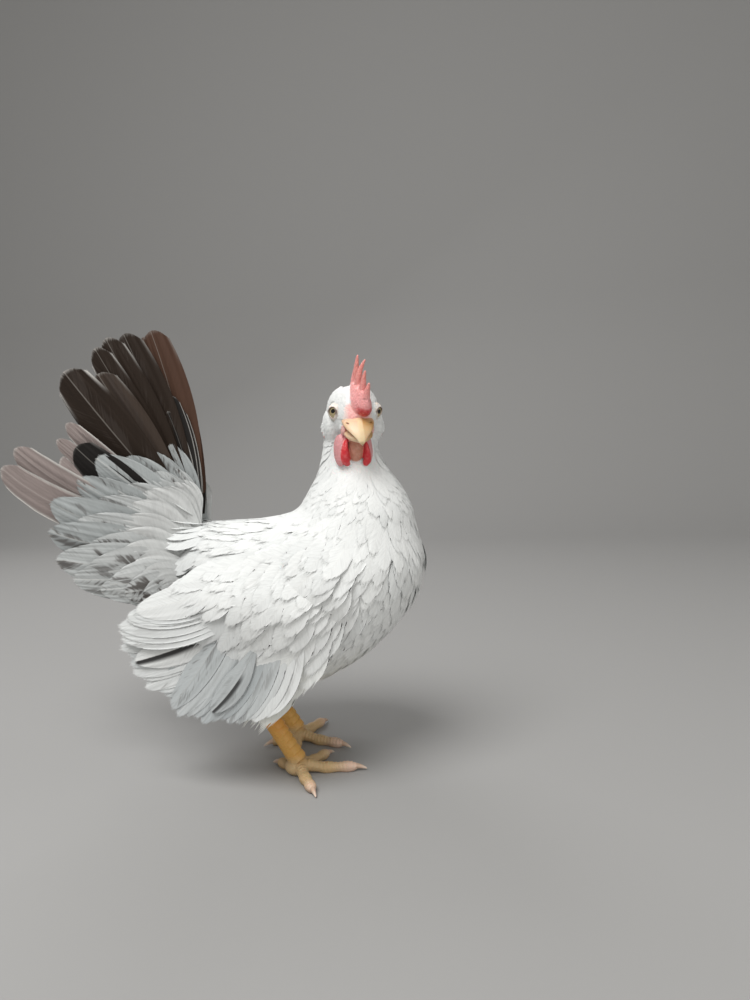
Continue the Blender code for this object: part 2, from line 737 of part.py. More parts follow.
def tail_place(radius, angle):
    """The point of the side plane at this distance from the tail's root and angle from upright."""
    turn = math.radians(angle)
    return (TAIL_ROOT[0] - radius * math.sin(turn), TAIL_ROOT[1] + radius * math.cos(turn))


def tail_sheet(level):
    def height(x, z, s):
        back, up = TAIL_ROOT[0] - x, z - TAIL_ROOT[1]
        radius = math.hypot(back, up)
        turn = (math.degrees(math.atan2(back, up)) - TAIL_START_ANGLE) / TAIL_SPLAY_ANGLE
        lift = min(max((radius - TAIL_ROOT_DEPTH) / TAIL_LIFT_REACH, 0.0), 1.0) * TAIL_TIER_STEP * level
        return TAIL_MIDLINE_Y + radius / TAIL_SPLAY_RADIUS * TAIL_SPLAY_Y * max(turn, 0.0) + lift
    return height


def tail_tier(angles, lengths, bends, half_width, level, side, draw):
    vanes = []
    angles = [angle + TAIL_FAR_TURN[side] for angle in angles]
    for i, (angle, length, bend) in enumerate(zip(angles, lengths, bends)):
        after = angles[min(i + 1, len(angles) - 1)]
        before = angles[max(i - 1, 0)]
        step = math.radians((after - before) / (min(i + 1, len(angles) - 1) - max(i - 1, 0)))
        slopes = tuple(-VANE_SEPARATION / (radius * step) for radius in (TAIL_NEAR_RADIUS, length))
        reach = length * (1 + draw.uniform(-LENGTH_SPREAD, LENGTH_SPREAD))
        vanes.append(sheet_vane(tail_place(TAIL_ROOT_DEPTH, angle), tail_place(reach, angle), half_width,
                                tail_sheet(level), side, slopes, bend, TAIL_STATIONS))
    return vanes


def build_tail(side, materials):
    draw = random.Random(SEED + 5 + side)
    x, z = TAIL_CORE_CENTRE
    turn = Matrix.Rotation(TAIL_CORE_TURN, 3, "Y")
    tail = ellipsoid("tail", (x, 0, z), TAIL_CORE_SIZE, turn, *CORE_SEGMENTS)
    vanes = tail_tier(RECTRIX_ANGLES, RECTRIX_LENGTHS, RECTRIX_BENDS, RECTRIX_WIDTH / 2, 0, side, draw)
    vanes += tail_tier(COVERT_ANGLES, COVERT_LENGTHS, COVERT_BENDS, COVERT_WIDTH / 2, 1, side, draw)
    boolean(tail, vanes, "UNION")
    far = -side * 0.1
    near = side * GAP / 2
    boolean(tail, [box("half", (-0.3, min(far, near), 0.0), (0.1, max(far, near), 0.4))], "DIFFERENCE")
    boolean(tail, [torso_solid(GAP)], "DIFFERENCE")
    finish_node(tail, "tail_" + SIDE_NAMES[side], materials["tail"])


def saddle_sheet(x, z, s):
    """How far out the saddle feathers lie: on the torso's side at the root, then straight back."""
    return SADDLE_SHEET_Y[0] + (SADDLE_SHEET_Y[1] - SADDLE_SHEET_Y[0]) * s


def build_torso(materials):
    """The torso with the saddle feathers that fall over each side of the rump."""
    draw = random.Random(SEED + 11)
    torso = torso_solid()
    vanes = []
    for side in (RIGHT, LEFT):
        vanes += tier(SADDLE_COUNT, SADDLE_ROOTS, SADDLE_TIPS, SADDLE_WIDTH / 2, saddle_sheet, side, draw)
    boolean(torso, vanes, "UNION")
    finish_node(torso, "torso", materials["feather"])


# Legs


def limb(name, path, radii, count):
    """A round limb along a path of points."""
    rings = []
    for i, (place, radius) in enumerate(zip(path, radii)):
        ahead = path[min(i + 1, len(path) - 1)] - path[max(i - 1, 0)]
        axis = ahead.normalized()
        side = axis.cross(Vector((0, 0, 1)) if abs(axis.z) < 0.9 else Vector((0, 1, 0))).normalized()
        rings.append(oval_ring(place, side, side.cross(axis), radius, radius, radius, count))
    return loft(name, rings, path[0] - (path[1] - path[0]) * 0.05, path[-1] + (path[-1] - path[-2]) * 0.05)


def foot_joint(side):
    x, y = FOOT_PLACES[side]
    return Vector((x, y, SHANK_FOOT_HEIGHT))


def hock(side):
    offset = HOCK_OFFSET.copy()
    offset.y *= -side
    return foot_joint(side) + offset


def shank_solid(side, pad=0.0):
    """The shank from the foot to the hock, with the steps of the scutes round it."""
    foot, top = foot_joint(side), hock(side)
    path, radii = [], []
    for i in range(SCUTE_COUNT):
        for share, step in ((0.0, SCUTE_STEP), (0.82, 0.0)):
            t = (i + share) / SCUTE_COUNT
            spot = t * (len(SHANK_RADII) - 1)
            k = min(int(spot), len(SHANK_RADII) - 2)
            radius = SHANK_RADII[k] + (SHANK_RADII[k + 1] - SHANK_RADII[k]) * (spot - k)
            path.append(foot + (top - foot) * t)
            radii.append(radius + step + pad)
    return limb("shank", path, radii, SHANK_SIDES)


def toe_axis(side, name):
    azimuth, length = TOES[side][name]
    turn = math.radians(azimuth)
    return Vector((math.cos(turn), math.sin(turn), 0)), length


def toe_solid(side, name):
    forward, length = toe_axis(side, name)
    reach = length - CLAW_LENGTH
    start = foot_joint(side)
    path, radii = [], []
    joints = TOE_JOINTS[name]
    for i in range(joints * 3 + 1):
        t = i / (joints * 3)
        drop = min(t * TOE_DROP, 1.0)
        height = TOE_ROOT_HEIGHT + (TOE_AXIS_HEIGHT - TOE_ROOT_HEIGHT) * drop
        bulge = TOE_BULGE * math.cos(t * joints * 2 * math.pi)
        place = start + forward * (reach * t)
        place.z = height
        path.append(place)
        radii.append(TOE_RADIUS + (TOE_TIP_RADIUS - TOE_RADIUS) * t + bulge)
    return limb("toe", path, radii, TOE_SIDES)


def build_leg(side, materials):
    leg = shank_solid(side)
    foot = foot_joint(side)
    middle = (foot.x, foot.y, FOOT_PAD_HEIGHT)
    pad = ellipsoid("pad", middle, FOOT_PAD_SIZE, Matrix.Identity(3), *BALL_SEGMENTS)
    boolean(leg, [toe_solid(side, name) for name in TOES[side]] + [pad], "UNION")
    boolean(leg, [box("floor", (-0.1, -0.15, -0.05), (0.15, 0.15, 0.0))], "DIFFERENCE")
    finish_node(leg, "leg_" + SIDE_NAMES[side], materials["leg"])
    for name in TOES[side]:
        build_claw(side, name, materials)


def build_claw(side, name, materials):
    forward, length = toe_axis(side, name)
    start = foot_joint(side) + forward * (length - CLAW_LENGTH + CLAW_GAP)
    path, radii = [], []
    for k in range(5):
        t = k / 4
        place = start + forward * ((CLAW_LENGTH - CLAW_GAP) * t)
        place.z = 0.0026 - 0.0016 * t * t
        path.append(place)
        radii.append(CLAW_RADIUS * (1 - t) ** 0.7 + 0.0003)
    claw = limb("claw", path, radii, CLAW_SIDES)
    finish_node(claw, "claw_" + SIDE_NAMES[side] + "_" + name, materials["claw"])


def build_thigh(side, materials):
    """The feathered thigh, from inside the torso down to the hock."""
    top = hock(side)
    low = THIGH_SECTIONS[-1][0]
    high = THIGH_SECTIONS[0][0]
    rings = []
    for z, radius in THIGH_SECTIONS:
        lean = (z - low) * THIGH_LEAN
        centre = Vector((top.x + THIGH_FORWARD + lean, top.y + side * THIGH_OUT, z))
        rings.append(oval_ring(centre, Vector((1, 0, 0)), Vector((0, 1, 0)),
                               radius * THIGH_DEPTH, radius, radius, THIGH_SIDES))
    thigh = loft("thigh", rings, Vector((top.x + THIGH_FORWARD, top.y, high + THIGH_CAP)),
                 Vector((top.x + THIGH_FORWARD, top.y, low - THIGH_CAP)))
    boolean(thigh, [torso_solid(GAP)], "DIFFERENCE")
    boolean(thigh, [shank_solid(side, GAP)], "DIFFERENCE")
    finish_node(thigh, "thigh_" + SIDE_NAMES[side], materials["feather"])


def centre_on_floor():
    """Moves every mesh so that the bounding box stands centred on the origin."""
    meshes = [obj for obj in bpy.data.objects if obj.type == "MESH"]
    corners = [v.co for obj in meshes for v in obj.data.vertices]
    low = [min(c[i] for c in corners) for i in range(3)]
    high = [max(c[i] for c in corners) for i in range(3)]
    shift = Vector((-(low[0] + high[0]) / 2, -(low[1] + high[1]) / 2, -low[2]))
    for obj in meshes:
        obj.data.transform(Matrix.Translation(shift))


def main():
    clear_scene()
    materials = {
        "feather": make_material("white_feather", WHITE, 0.75),
        "tail": make_material("tail_feather", BLACK_BROWN, 0.6),
        "comb": make_material("comb_skin", COMB_RED, 0.55),
        "wattle": make_material("wattle_skin", WATTLE_RED, 0.5),
        "lobe": make_material("earlobe_skin", LOBE_PINK, 0.6),
        "beak": make_material("beak_horn", BEAK_HORN, 0.35),
        "eye": make_material("eye_iris", EYE_OLIVE, 0.08),
        "leg": make_material("leg_scale", LEG_YELLOW, 0.5),
        "claw": make_material("claw_horn", CLAW_HORN, 0.35),
    }
    build_torso(materials)
    neck = neck_solid()
    boolean(neck, [torso_solid(GAP)], "DIFFERENCE")
    boolean(neck, [head_solid(GAP)], "DIFFERENCE")
    finish_node(neck, "neck", materials["feather"])
    build_head(materials)
    build_beak(materials)
    build_comb(materials)
    for side in (RIGHT, LEFT):
        build_wing(side, materials)
        build_tail(side, materials)
        build_thigh(side, materials)
        build_leg(side, materials)
    centre_on_floor()


main()
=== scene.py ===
"""The looks of the Japanese bantam hen: skin, feathers, eyes, beak, feet, floor, lights and camera.

Everything is laid out in the bird's own frame: the body faces +X, its left side is +Y, up is +Z, and the
origin is the point of the floor midway between the feet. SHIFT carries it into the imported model's frame.
"""

import math
from functools import reduce

import bmesh
import bpy
import numpy as np
from mathutils import Matrix, Vector, noise
from mathutils.bvhtree import BVHTree
from mathutils.kdtree import KDTree


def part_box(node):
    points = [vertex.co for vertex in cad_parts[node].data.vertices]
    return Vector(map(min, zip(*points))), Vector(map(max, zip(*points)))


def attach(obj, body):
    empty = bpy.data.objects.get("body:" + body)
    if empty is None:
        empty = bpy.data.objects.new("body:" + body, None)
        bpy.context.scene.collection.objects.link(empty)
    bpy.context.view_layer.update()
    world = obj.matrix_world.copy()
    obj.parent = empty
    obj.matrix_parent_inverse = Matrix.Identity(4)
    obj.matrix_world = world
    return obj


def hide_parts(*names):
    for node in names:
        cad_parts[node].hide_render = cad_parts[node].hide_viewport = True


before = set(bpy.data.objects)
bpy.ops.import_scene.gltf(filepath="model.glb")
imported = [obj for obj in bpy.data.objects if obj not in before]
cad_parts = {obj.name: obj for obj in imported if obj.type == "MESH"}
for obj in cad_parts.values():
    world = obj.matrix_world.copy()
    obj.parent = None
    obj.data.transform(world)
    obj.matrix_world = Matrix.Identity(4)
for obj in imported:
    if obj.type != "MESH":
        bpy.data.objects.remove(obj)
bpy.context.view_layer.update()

RIGHT, LEFT = -1, 1
SIDE_NAMES = {RIGHT: "right", LEFT: "left"}
SIDES = (RIGHT, LEFT)


def metres(rows):
    """Numbers that are given in tenths of a millimetre."""
    return np.array(rows) / 10000


# Head frame: u forward, v to the bird's left, w up
HEAD_CENTRE = np.array((0.043, -0.008, 0.2022))
HEAD_AZIMUTH = math.radians(-69.7)
HEAD_PITCH = math.radians(22.0)
HEAD_REACH = 0.042
EYE_PLACE = (0.0035, 0.0104, 0.0024)
EYE_RADIUS = 0.0042
EYE_TURN = math.radians(39.0)
EYE_LIFT = {RIGHT: math.radians(22.0), LEFT: math.radians(6.0)}
LID_TURN = math.radians(43.0)
LID_LIFT = {RIGHT: math.radians(9.0), LEFT: math.radians(-4.0)}
LID_OPENING = (0.0021, 0.003)
LID_THICKNESS = 0.00065
LID_RIM_OUT = 0.0003
LID_RIM_RADIUS = 0.0005
EYE_GAP = 0.00005

_level = np.array((math.cos(HEAD_AZIMUTH), math.sin(HEAD_AZIMUTH), 0.0))
HEAD_FORWARD = _level * math.cos(HEAD_PITCH) - np.array((0.0, 0.0, 1.0)) * math.sin(HEAD_PITCH)
HEAD_LEFT = np.array((-math.sin(HEAD_AZIMUTH), math.cos(HEAD_AZIMUTH), 0.0))
HEAD_UP = np.cross(HEAD_FORWARD, HEAD_LEFT)
HEAD_AXES = np.array((HEAD_FORWARD, HEAD_LEFT, HEAD_UP))


def in_head(u, v, w):
    return HEAD_CENTRE + HEAD_FORWARD * u + HEAD_LEFT * v + HEAD_UP * w


def head_coordinates(points):
    return (points - HEAD_CENTRE) @ HEAD_AXES.T


def on_side(side, place):
    """A place on the left of the head, or its mirror image on the right."""
    u, v, w = place
    return in_head(u, side * v, w)


def box_middle(node):
    low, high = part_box(node)
    return (np.array(low) + np.array(high)) / 2


SHIFT = box_middle("eye_right") - on_side(RIGHT, EYE_PLACE)

# Sections of the torso: x, top, bottom, half width; and of the neck: height, back x, front x, half width
TORSO_SECTIONS = metres((
    (-640, 1350, 1150, 90),
    (-570, 1430, 1000, 200),
    (-440, 1465, 800, 330),
    (-260, 1470, 610, 430),
    (-60, 1490, 480, 495),
    (140, 1540, 460, 520),
    (340, 1580, 560, 500),
    (520, 1560, 690, 435),
    (660, 1490, 850, 330),
    (750, 1370, 1020, 190),
))
TORSO_ENDS = metres(((-665, 1250), (795, 1215)))
NECK_SECTIONS = metres((
    (1260, 80, 700, 340),
    (1400, 10, 765, 370),
    (1500, 50, 750, 335),
    (1600, 110, 700, 280),
    (1680, 155, 645, 235),
    (1770, 185, 590, 200),
    (1860, 200, 575, 180),
    (1940, 215, 570, 170),
    (2020, 240, 550, 140),
))
# Sections of the head and beak: u, half width, top, bottom
HEAD_SECTIONS = metres((
    (-185, 75, 60, -80),
    (-145, 125, 110, -140),
    (-80, 146, 145, -180),
    (-10, 149, 152, -185),
    (50, 133, 136, -165),
    (95, 108, 108, -135),
    (130, 88, 78, -105),
    (155, 62, 52, -80),
))
HEAD_ENDS = metres(((-205, -10), (168, -10)))
# How far the skin lies under the outline of the coat
TORSO_COAT = 0.0052
NECK_COAT = 0.004
HEAD_COAT = 0.0012
HEAD_CORE_COAT = 0.0022
THIGH_COAT = 0.003
WING_COAT = 0.0034
BODY_VOXEL = 0.0011
HEAD_VOXEL = 0.00042

BEAK_UPPER_SECTIONS = metres((
    (95, 86, 32, -36),
    (130, 88, 34, -40),
    (160, 83, 28, -41),
    (200, 72, 14, -43),
    (240, 50, -8, -48),
    (266, 29, -31, -58),
    (281, 15, -53, -71),
))
BEAK_UPPER_ENDS = metres(((90, 0), (287, -79)))
BEAK_LOWER_SECTIONS = metres((
    (95, 80, -36, -84),
    (155, 79, -36, -87),
    (200, 68, -38, -87),
    (236, 43, -44, -82),
))
BEAK_LOWER_ENDS = metres(((90, -62), (254, -72)))
NOSTRIL_PLACE = (0.0172, 0.006, 0.0006)
NOSTRIL_SIZE = (0.0013, 0.0014, 0.0004)

# Comb: height over the head, middle u, half length, half thickness; then its spikes, each from base to tip
COMB_BODY = metres((
    (36, 20, 140, 66),
    (70, 34, 166, 62),
    (110, 42, 166, 53),
    (145, 50, 152, 38),
    (172, 58, 126, 24),
))
COMB_TOP = 0.0186
COMB_LEAN = 0.17
COMB_SET = 0.0002
COMB_SPIKES = metres((
    ((172, 34, 150, 30), (186, 38, 195, 19), (196, 43, 234, 8)),
    ((112, 24, 150, 34), (120, 27, 220, 21), (127, 33, 280, 8)),
    ((40, 14, 150, 36), (43, 18, 245, 22), (48, 44, 316, 8)),
    ((-30, 12, 140, 36), (-32, 13, 240, 22), (-36, 19, 318, 8)),
    ((-86, 10, 120, 32), (-100, 12, 175, 20), (-112, 15, 215, 8)),
))

# Warts of the comb and wattles: how many fit a metre, how high they rise and how far out they start
WARTS_A_METRE = 760.0
WART_HEIGHT = 0.0003
WART_START = 0.0005

# Wattles, in the head's frame: the flat outer fold, then the red rim as places and radii down a crescent
WATTLE_SHIFT = -0.0013
WATTLE_FOLD = {RIGHT: (0.015, 0.0086, -0.0158), LEFT: (0.0142, 0.0068, -0.0156)}
WATTLE_FOLD_SIZE = (0.0044, 0.0024, 0.0088)
WATTLE_YAW = math.radians(36.0)
WATTLE_RIM = metres((
    (160, 52, -90, 6),
    (176, 58, -120, 12),
    (184, 61, -153, 17),
    (184, 59, -189, 20),
    (176, 51, -225, 19),
    (162, 38, -253, 14),
))
WATTLE_DROP = {RIGHT: 0.0, LEFT: -0.0012}
THROAT_PLACE = (0.0128, -0.0013, -0.0152)
THROAT_SIZE = (0.0066, 0.005, 0.0108)
CHEEK_PLACE = (-0.003, 0.0122, -0.0085)
CHEEK_SIZE = (0.009, 0.0042, 0.009)
GAPE_PLACE = (0.0114, 0.0076, -0.0048)
GAPE_SIZE = (0.0042, 0.0017, 0.0036)
CHIN_PLACE = (0.0118, -0.0006, -0.0092)
CHIN_SIZE = (0.0066, 0.0072, 0.0036)
EARLOBE_PLACE = (-0.003, -0.0108)
EARLOBE_OUT = 0.0156
EARLOBE_SIZE = (0.0034, 0.0018, 0.0052)

FOOT_PLACES = {RIGHT: (0.005, -0.0225), LEFT: (-0.008, 0.022)}
HOCK_OFFSET = (-0.0215, -0.0005, 0.036)
SHANK_FOOT_HEIGHT = 0.0075
LEG_TOP = 0.0445
SHANK_RADII = (0.0052, 0.0049, 0.0048, 0.005, 0.0056, 0.006)
TOE_RADIUS = 0.003
TOE_TIP_RADIUS = 0.0021
TOE_ROOT_HEIGHT = 0.0055
TOE_AXIS_HEIGHT = 0.0025
FOOT_PAD_HEIGHT = 0.0042
FOOT_PAD_SIZE = (0.0076, 0.0072, 0.005)
CLAW_LENGTH = 0.0065
CLAW_RADIUS = 0.0014
TOES = {
    RIGHT: {"middle": (10.0, 0.039), "outer": (-59.0, 0.034), "inner": (62.0, 0.031), "hind": (150.0, 0.021)},
    LEFT: {"middle": (-16.0, 0.038), "outer": (69.0, 0.034), "inner": (-77.0, 0.031), "hind": (215.0, 0.022)},
}
THIGH_SECTIONS = metres(((800, 180), (620, 175), (510, 140), (440, 98), (405, 72)))
THIGH_AHEAD = 0.006

WING_PAD_CENTRE = (0.004, 0.0425, 0.107)
WING_PAD_SIZE = (0.043, 0.0145, 0.024)
WING_PAD_TILT = math.radians(14.0)
WING_SHEET_Y = 0.052
WING_SHEET_TAPER = 0.09
WING_TIER_STEP = 0.0014

TAIL_ROOT = (-0.052, 0.134)
TAIL_CORE_CENTRE = (-0.06, 0.134)
TAIL_CORE_SIZE = (0.0215, 0.007, 0.011)
TAIL_CORE_TURN = math.radians(58.0)
TAIL_MIDLINE_Y = 0.0032
TAIL_SPLAY_Y = 0.025
TAIL_SPLAY_RADIUS = 0.12
TAIL_ROOT_RADIUS = 0.013
TAIL_START_ANGLE = 12.0
TAIL_SPLAY_ANGLE = 57.0
TAIL_FAR_TURN = {RIGHT: 0.0, LEFT: 4.0}

# Camera, in the bird's frame
CAMERA_PLACE = np.array((0.12549, -0.41994, 0.19))
CAMERA_YAW = math.radians(10.0)
CAMERA_PITCH = math.radians(5.0)
CAMERA_ROLL = math.radians(2.3)
CAMERA_LENS = 27.036
SENSOR = 36.0

# Floor and backdrop, in metres
FLOOR_HALF_WIDTH = 2.56
FLOOR_FRONT = -1.5
FLOOR_BACK = 0.9
BACKDROP_RADIUS = 0.5
BACKDROP_TOP = 2.2
FLOOR_COLOUR = (0.34, 0.335, 0.33)
SKY_COLOUR = (1.0, 0.99, 0.96)
SKY_STRENGTH = 0.37
# Lights: name, place, size, power, colour
LIGHTS = (
    ("key", (-0.16, -0.64, 1.34), 0.9, 17.5, (1.0, 1.0, 0.99)),
    ("fill", (0.75, -1.0, 0.45), 0.9, 3.5, (1.0, 0.99, 0.96)),
    ("rim", (-0.5, 0.75, 0.9), 0.6, 3.5, (1.0, 1.0, 1.0)),
)

WHITE = (0.8, 0.81, 0.8)
# White greyed by painted shade low on the body and wing; it also gives random grey tones
GREY_AND_SHADE_WHITE = (0.4, 0.43, 0.44)
BLACK = (0.012, 0.01, 0.009)
DARK_BROWN = (0.022, 0.013, 0.008)
TAIL_BROWN = (0.07, 0.034, 0.021)
PALE_BROWN_GREY = (0.32, 0.265, 0.25)
FLECK_COLOUR = (0.05, 0.038, 0.032)
RIM_COLOUR = (0.56, 0.54, 0.51)
STRIPE_COLOUR = (0.02, 0.018, 0.018)
QUILL_COLOUR = (0.72, 0.68, 0.62)
# Bare skin
BLOTCH_COLOUR = (0.9, 0.52, 0.48)
PEBBLE_COLOUR = (0.45, 0.12, 0.11)
LORES_COLOUR = (0.8, 0.62, 0.58)
BROW_COLOUR = (0.84, 0.42, 0.39)
COMB_COLOUR = (0.92, 0.4, 0.395)
COMB_TIP_COLOUR = (0.82, 0.3, 0.26)
COMB_FOOT_COLOUR = (0.6, 0.035, 0.045)
GAPE_COLOUR = (0.8, 0.46, 0.42)
WATTLE_COLOUR = (0.66, 0.3, 0.31)
WATTLE_RIM_COLOUR = (0.64, 0.018, 0.03)
THROAT_COLOUR = (0.54, 0.25, 0.165)
EARLOBE_COLOUR = (0.78, 0.5, 0.47)
LID_COLOUR = (0.76, 0.69, 0.63)
# Painted shadow along the upper lid's rim
UPPER_LID_SHADOW_COLOUR = (0.16, 0.12, 0.1)
SHANK_COLOUR = (0.66, 0.36, 0.085)
HOCK_COLOUR = (0.66, 0.28, 0.04)
TOE_COLOUR = (0.56, 0.39, 0.2)
TOE_TIP_COLOUR = (0.7, 0.5, 0.41)
# Eyes, beak and claws
IRIS_COLOURS = ((0.32, 0.25, 0.12), (0.54, 0.45, 0.26))
IRIS_RIM_COLOUR = (0.1, 0.075, 0.045)
PUPIL_COLOUR = (0.004, 0.004, 0.004)
BEAK_COLOUR = (0.76, 0.52, 0.35)
# Painted shade on the beak's left side
BEAK_SHADED_SIDE_COLOUR = (0.47, 0.25, 0.08)
BEAK_TIP_COLOUR = (0.76, 0.6, 0.4)
BEAK_RIDGE_COLOUR = (0.74, 0.57, 0.34)
BEAK_ROOT_COLOUR = (0.74, 0.46, 0.36)
CLAW_COLOUR = (0.55, 0.38, 0.27)
CLAW_TIP_COLOUR = (0.7, 0.58, 0.48)

random = np.random.default_rng(7)


def ramp(value, low, high):
    """0 below low, 1 above high and smooth between; low may be above high."""
    share = np.clip((value - low) / (high - low), 0.0, 1.0)
    return share * share * (3 - 2 * share)


def unit(vectors):
    return vectors / np.maximum(np.linalg.norm(vectors, axis=-1, keepdims=True), 1e-12)


def norms(vectors):
    return np.linalg.norm(vectors, axis=-1)


def mixed(first, second, share):
    return np.asarray(first) * (1 - share) + np.asarray(second) * share


# Meshes


def new_object(name, mesh):
    obj = bpy.data.objects.new(name, mesh)
    bpy.context.scene.collection.objects.link(obj)
    return obj


def fill_mesh(name, points, faces):
    """A mesh from an array of points and arrays of faces, each of one size."""
    mesh = bpy.data.meshes.new(name)
    mesh.vertices.add(len(points))
    mesh.vertices.foreach_set("co", np.asarray(points, np.float32).ravel())
    faces = [np.asarray(block, np.int32) for block in faces if len(block)]
    corners = np.concatenate([block.ravel() for block in faces])
    sizes = np.concatenate([np.full(len(block), block.shape[1], np.int32) for block in faces])
    mesh.loops.add(len(corners))
    mesh.loops.foreach_set("vertex_index", corners)
    mesh.polygons.add(len(sizes))
    mesh.polygons.foreach_set("loop_start", np.concatenate(([0], np.cumsum(sizes)[:-1])).astype(np.int32))
    mesh.polygons.foreach_set("loop_total", sizes)
    mesh.update(calc_edges=True)
    return mesh


def closed_mesh(name, points, faces):
    """An object whose faces are turned to point out, used where shapes are joined."""
    mesh = bpy.data.meshes.new(name)
    mesh.from_pydata([tuple(p) for p in points], [], faces)
    shape = bmesh.new()
    shape.from_mesh(mesh)
    bmesh.ops.recalc_face_normals(shape, faces=shape.faces)
    if shape.calc_volume(signed=True) < 0:
        bmesh.ops.reverse_faces(shape, faces=shape.faces)
    shape.to_mesh(mesh)
    shape.free()
    return new_object(name, mesh)


def loft(name, rings, start, end):
    """A closed surface through rings of points, with a point at each end."""
    count = len(rings[0])
    points = [p for ring in rings for p in ring] + [start, end]
    first, last = len(points) - 2, len(points) - 1
    top = (len(rings) - 1) * count
    steps = [(i, (i + 1) % count) for i in range(count)]
    faces = []
    for low in range(0, top, count):
        high = low + count
        faces += [(low + i, low + j, high + j, high + i) for i, j in steps]
    for i, j in steps:
        faces += [(first, j, i), (last, top + i, top + j)]
    return closed_mesh(name, points, faces)


def oval_ring(centre, side, up, half_width, half_height, count, power=2.0):
    angles = np.arange(count) * 2 * math.pi / count
    c, s = np.cos(angles), np.sin(angles)
    across = np.sign(c) * np.abs(c) ** (2 / power) * half_width
    height = np.sign(s) * np.abs(s) ** (2 / power) * half_height
    return list(np.asarray(centre) + np.outer(across, side) + np.outer(height, up))


def smooth_table(rows, steps):
    """Rows of numbers with Catmull-Rom rows added between them."""
    rows = np.array(rows, float)
    padded = np.vstack((rows[:1], rows, rows[-1:]))
    result = []
    for i in range(len(rows) - 1):
        a, b, c, d = padded[i:i + 4]
        for t in np.arange(steps) / steps:
            result.append(0.5 * (2 * b + (c - a) * t + (2 * a - 5 * b + 4 * c - d) * t ** 2
                                 + (3 * b - a - 3 * c + d) * t ** 3))
    return np.array(result + [rows[-1]])


def ball(name, centre, size, turn=np.eye(3), around=32, up=20):
    shape = bmesh.new()
    bmesh.ops.create_uvsphere(shape, u_segments=around, v_segments=up, radius=1.0)
    points = np.array([v.co for v in shape.verts]) * np.array(size) @ np.asarray(turn).T + np.asarray(centre)
    faces = [[v.index for v in f.verts] for f in shape.faces]
    shape.free()
    return closed_mesh(name, points, faces)


def turn_about(axis, angle):
    return np.array(Matrix.Rotation(angle, 3, axis))


def remove_objects(objects):
    for obj in objects:
        bpy.data.objects.remove(obj, do_unlink=True)


def applied(obj):
    """The object with its modifiers applied."""
    graph = bpy.context.evaluated_depsgraph_get()
    mesh = bpy.data.meshes.new_from_object(obj.evaluated_get(graph))
    obj.modifiers.clear()
    obj.data = mesh
    return obj


def boolean(target, others, operation):
    group = bpy.data.collections.new("operands")
    bpy.context.scene.collection.children.link(group)
    for obj in others:
        group.objects.link(obj)
    modifier = target.modifiers.new("Boolean", "BOOLEAN")
    modifier.operation = operation
    modifier.operand_type = "COLLECTION"
    modifier.collection = group
    modifier.solver = "MANIFOLD"
    bpy.context.view_layer.update()
    applied(target)
    remove_objects(others)
    bpy.data.collections.remove(group)
    return target


def fused(objects, voxel, smoothing):
    """The objects melted into one even surface."""
    target = objects[0]
    boolean(target, objects[1:], "UNION")
    remesh = target.modifiers.new("Remesh", "REMESH")
    remesh.mode = "VOXEL"
    remesh.voxel_size = voxel
    smooth = target.modifiers.new("Smooth", "SMOOTH")
    smooth.factor = 0.5
    smooth.iterations = smoothing
    return applied(target)


def values_of(collection, name, width, kind=np.float32):
    """A property of every member of a mesh's collection, as rows of numbers."""
    values = np.empty(len(collection) * width, kind)
    collection.foreach_get(name, values)
    return values.reshape(-1, width)


def points_of(mesh):
    return values_of(mesh.vertices, "co", 3).astype(float)


def normals_of(mesh):
    return values_of(mesh.vertex_normals, "vector", 3).astype(float)


def triangles_of(mesh):
    mesh.calc_loop_triangles()
    return values_of(mesh.loop_triangles, "vertices", 3, np.int32)


def paint(mesh, name, colours):
    """A colour for each point, as an attribute that a material reads."""
    layer = mesh.attributes.new(name, "FLOAT_COLOR", "POINT")
    rgba = np.ones((len(mesh.vertices), 4), np.float32)
    rgba[:, :3] = colours
    layer.data.foreach_set("color", rgba.ravel())


def place_piece(obj, material):
    """Moves a piece into the model's frame and lets it ride there."""
    obj.data.transform(Matrix.Translation(Vector(SHIFT)))
    obj.data.materials.clear()
    obj.data.materials.append(material)
    obj.data.shade_smooth()
    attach(obj, "root")
    return obj


# Materials


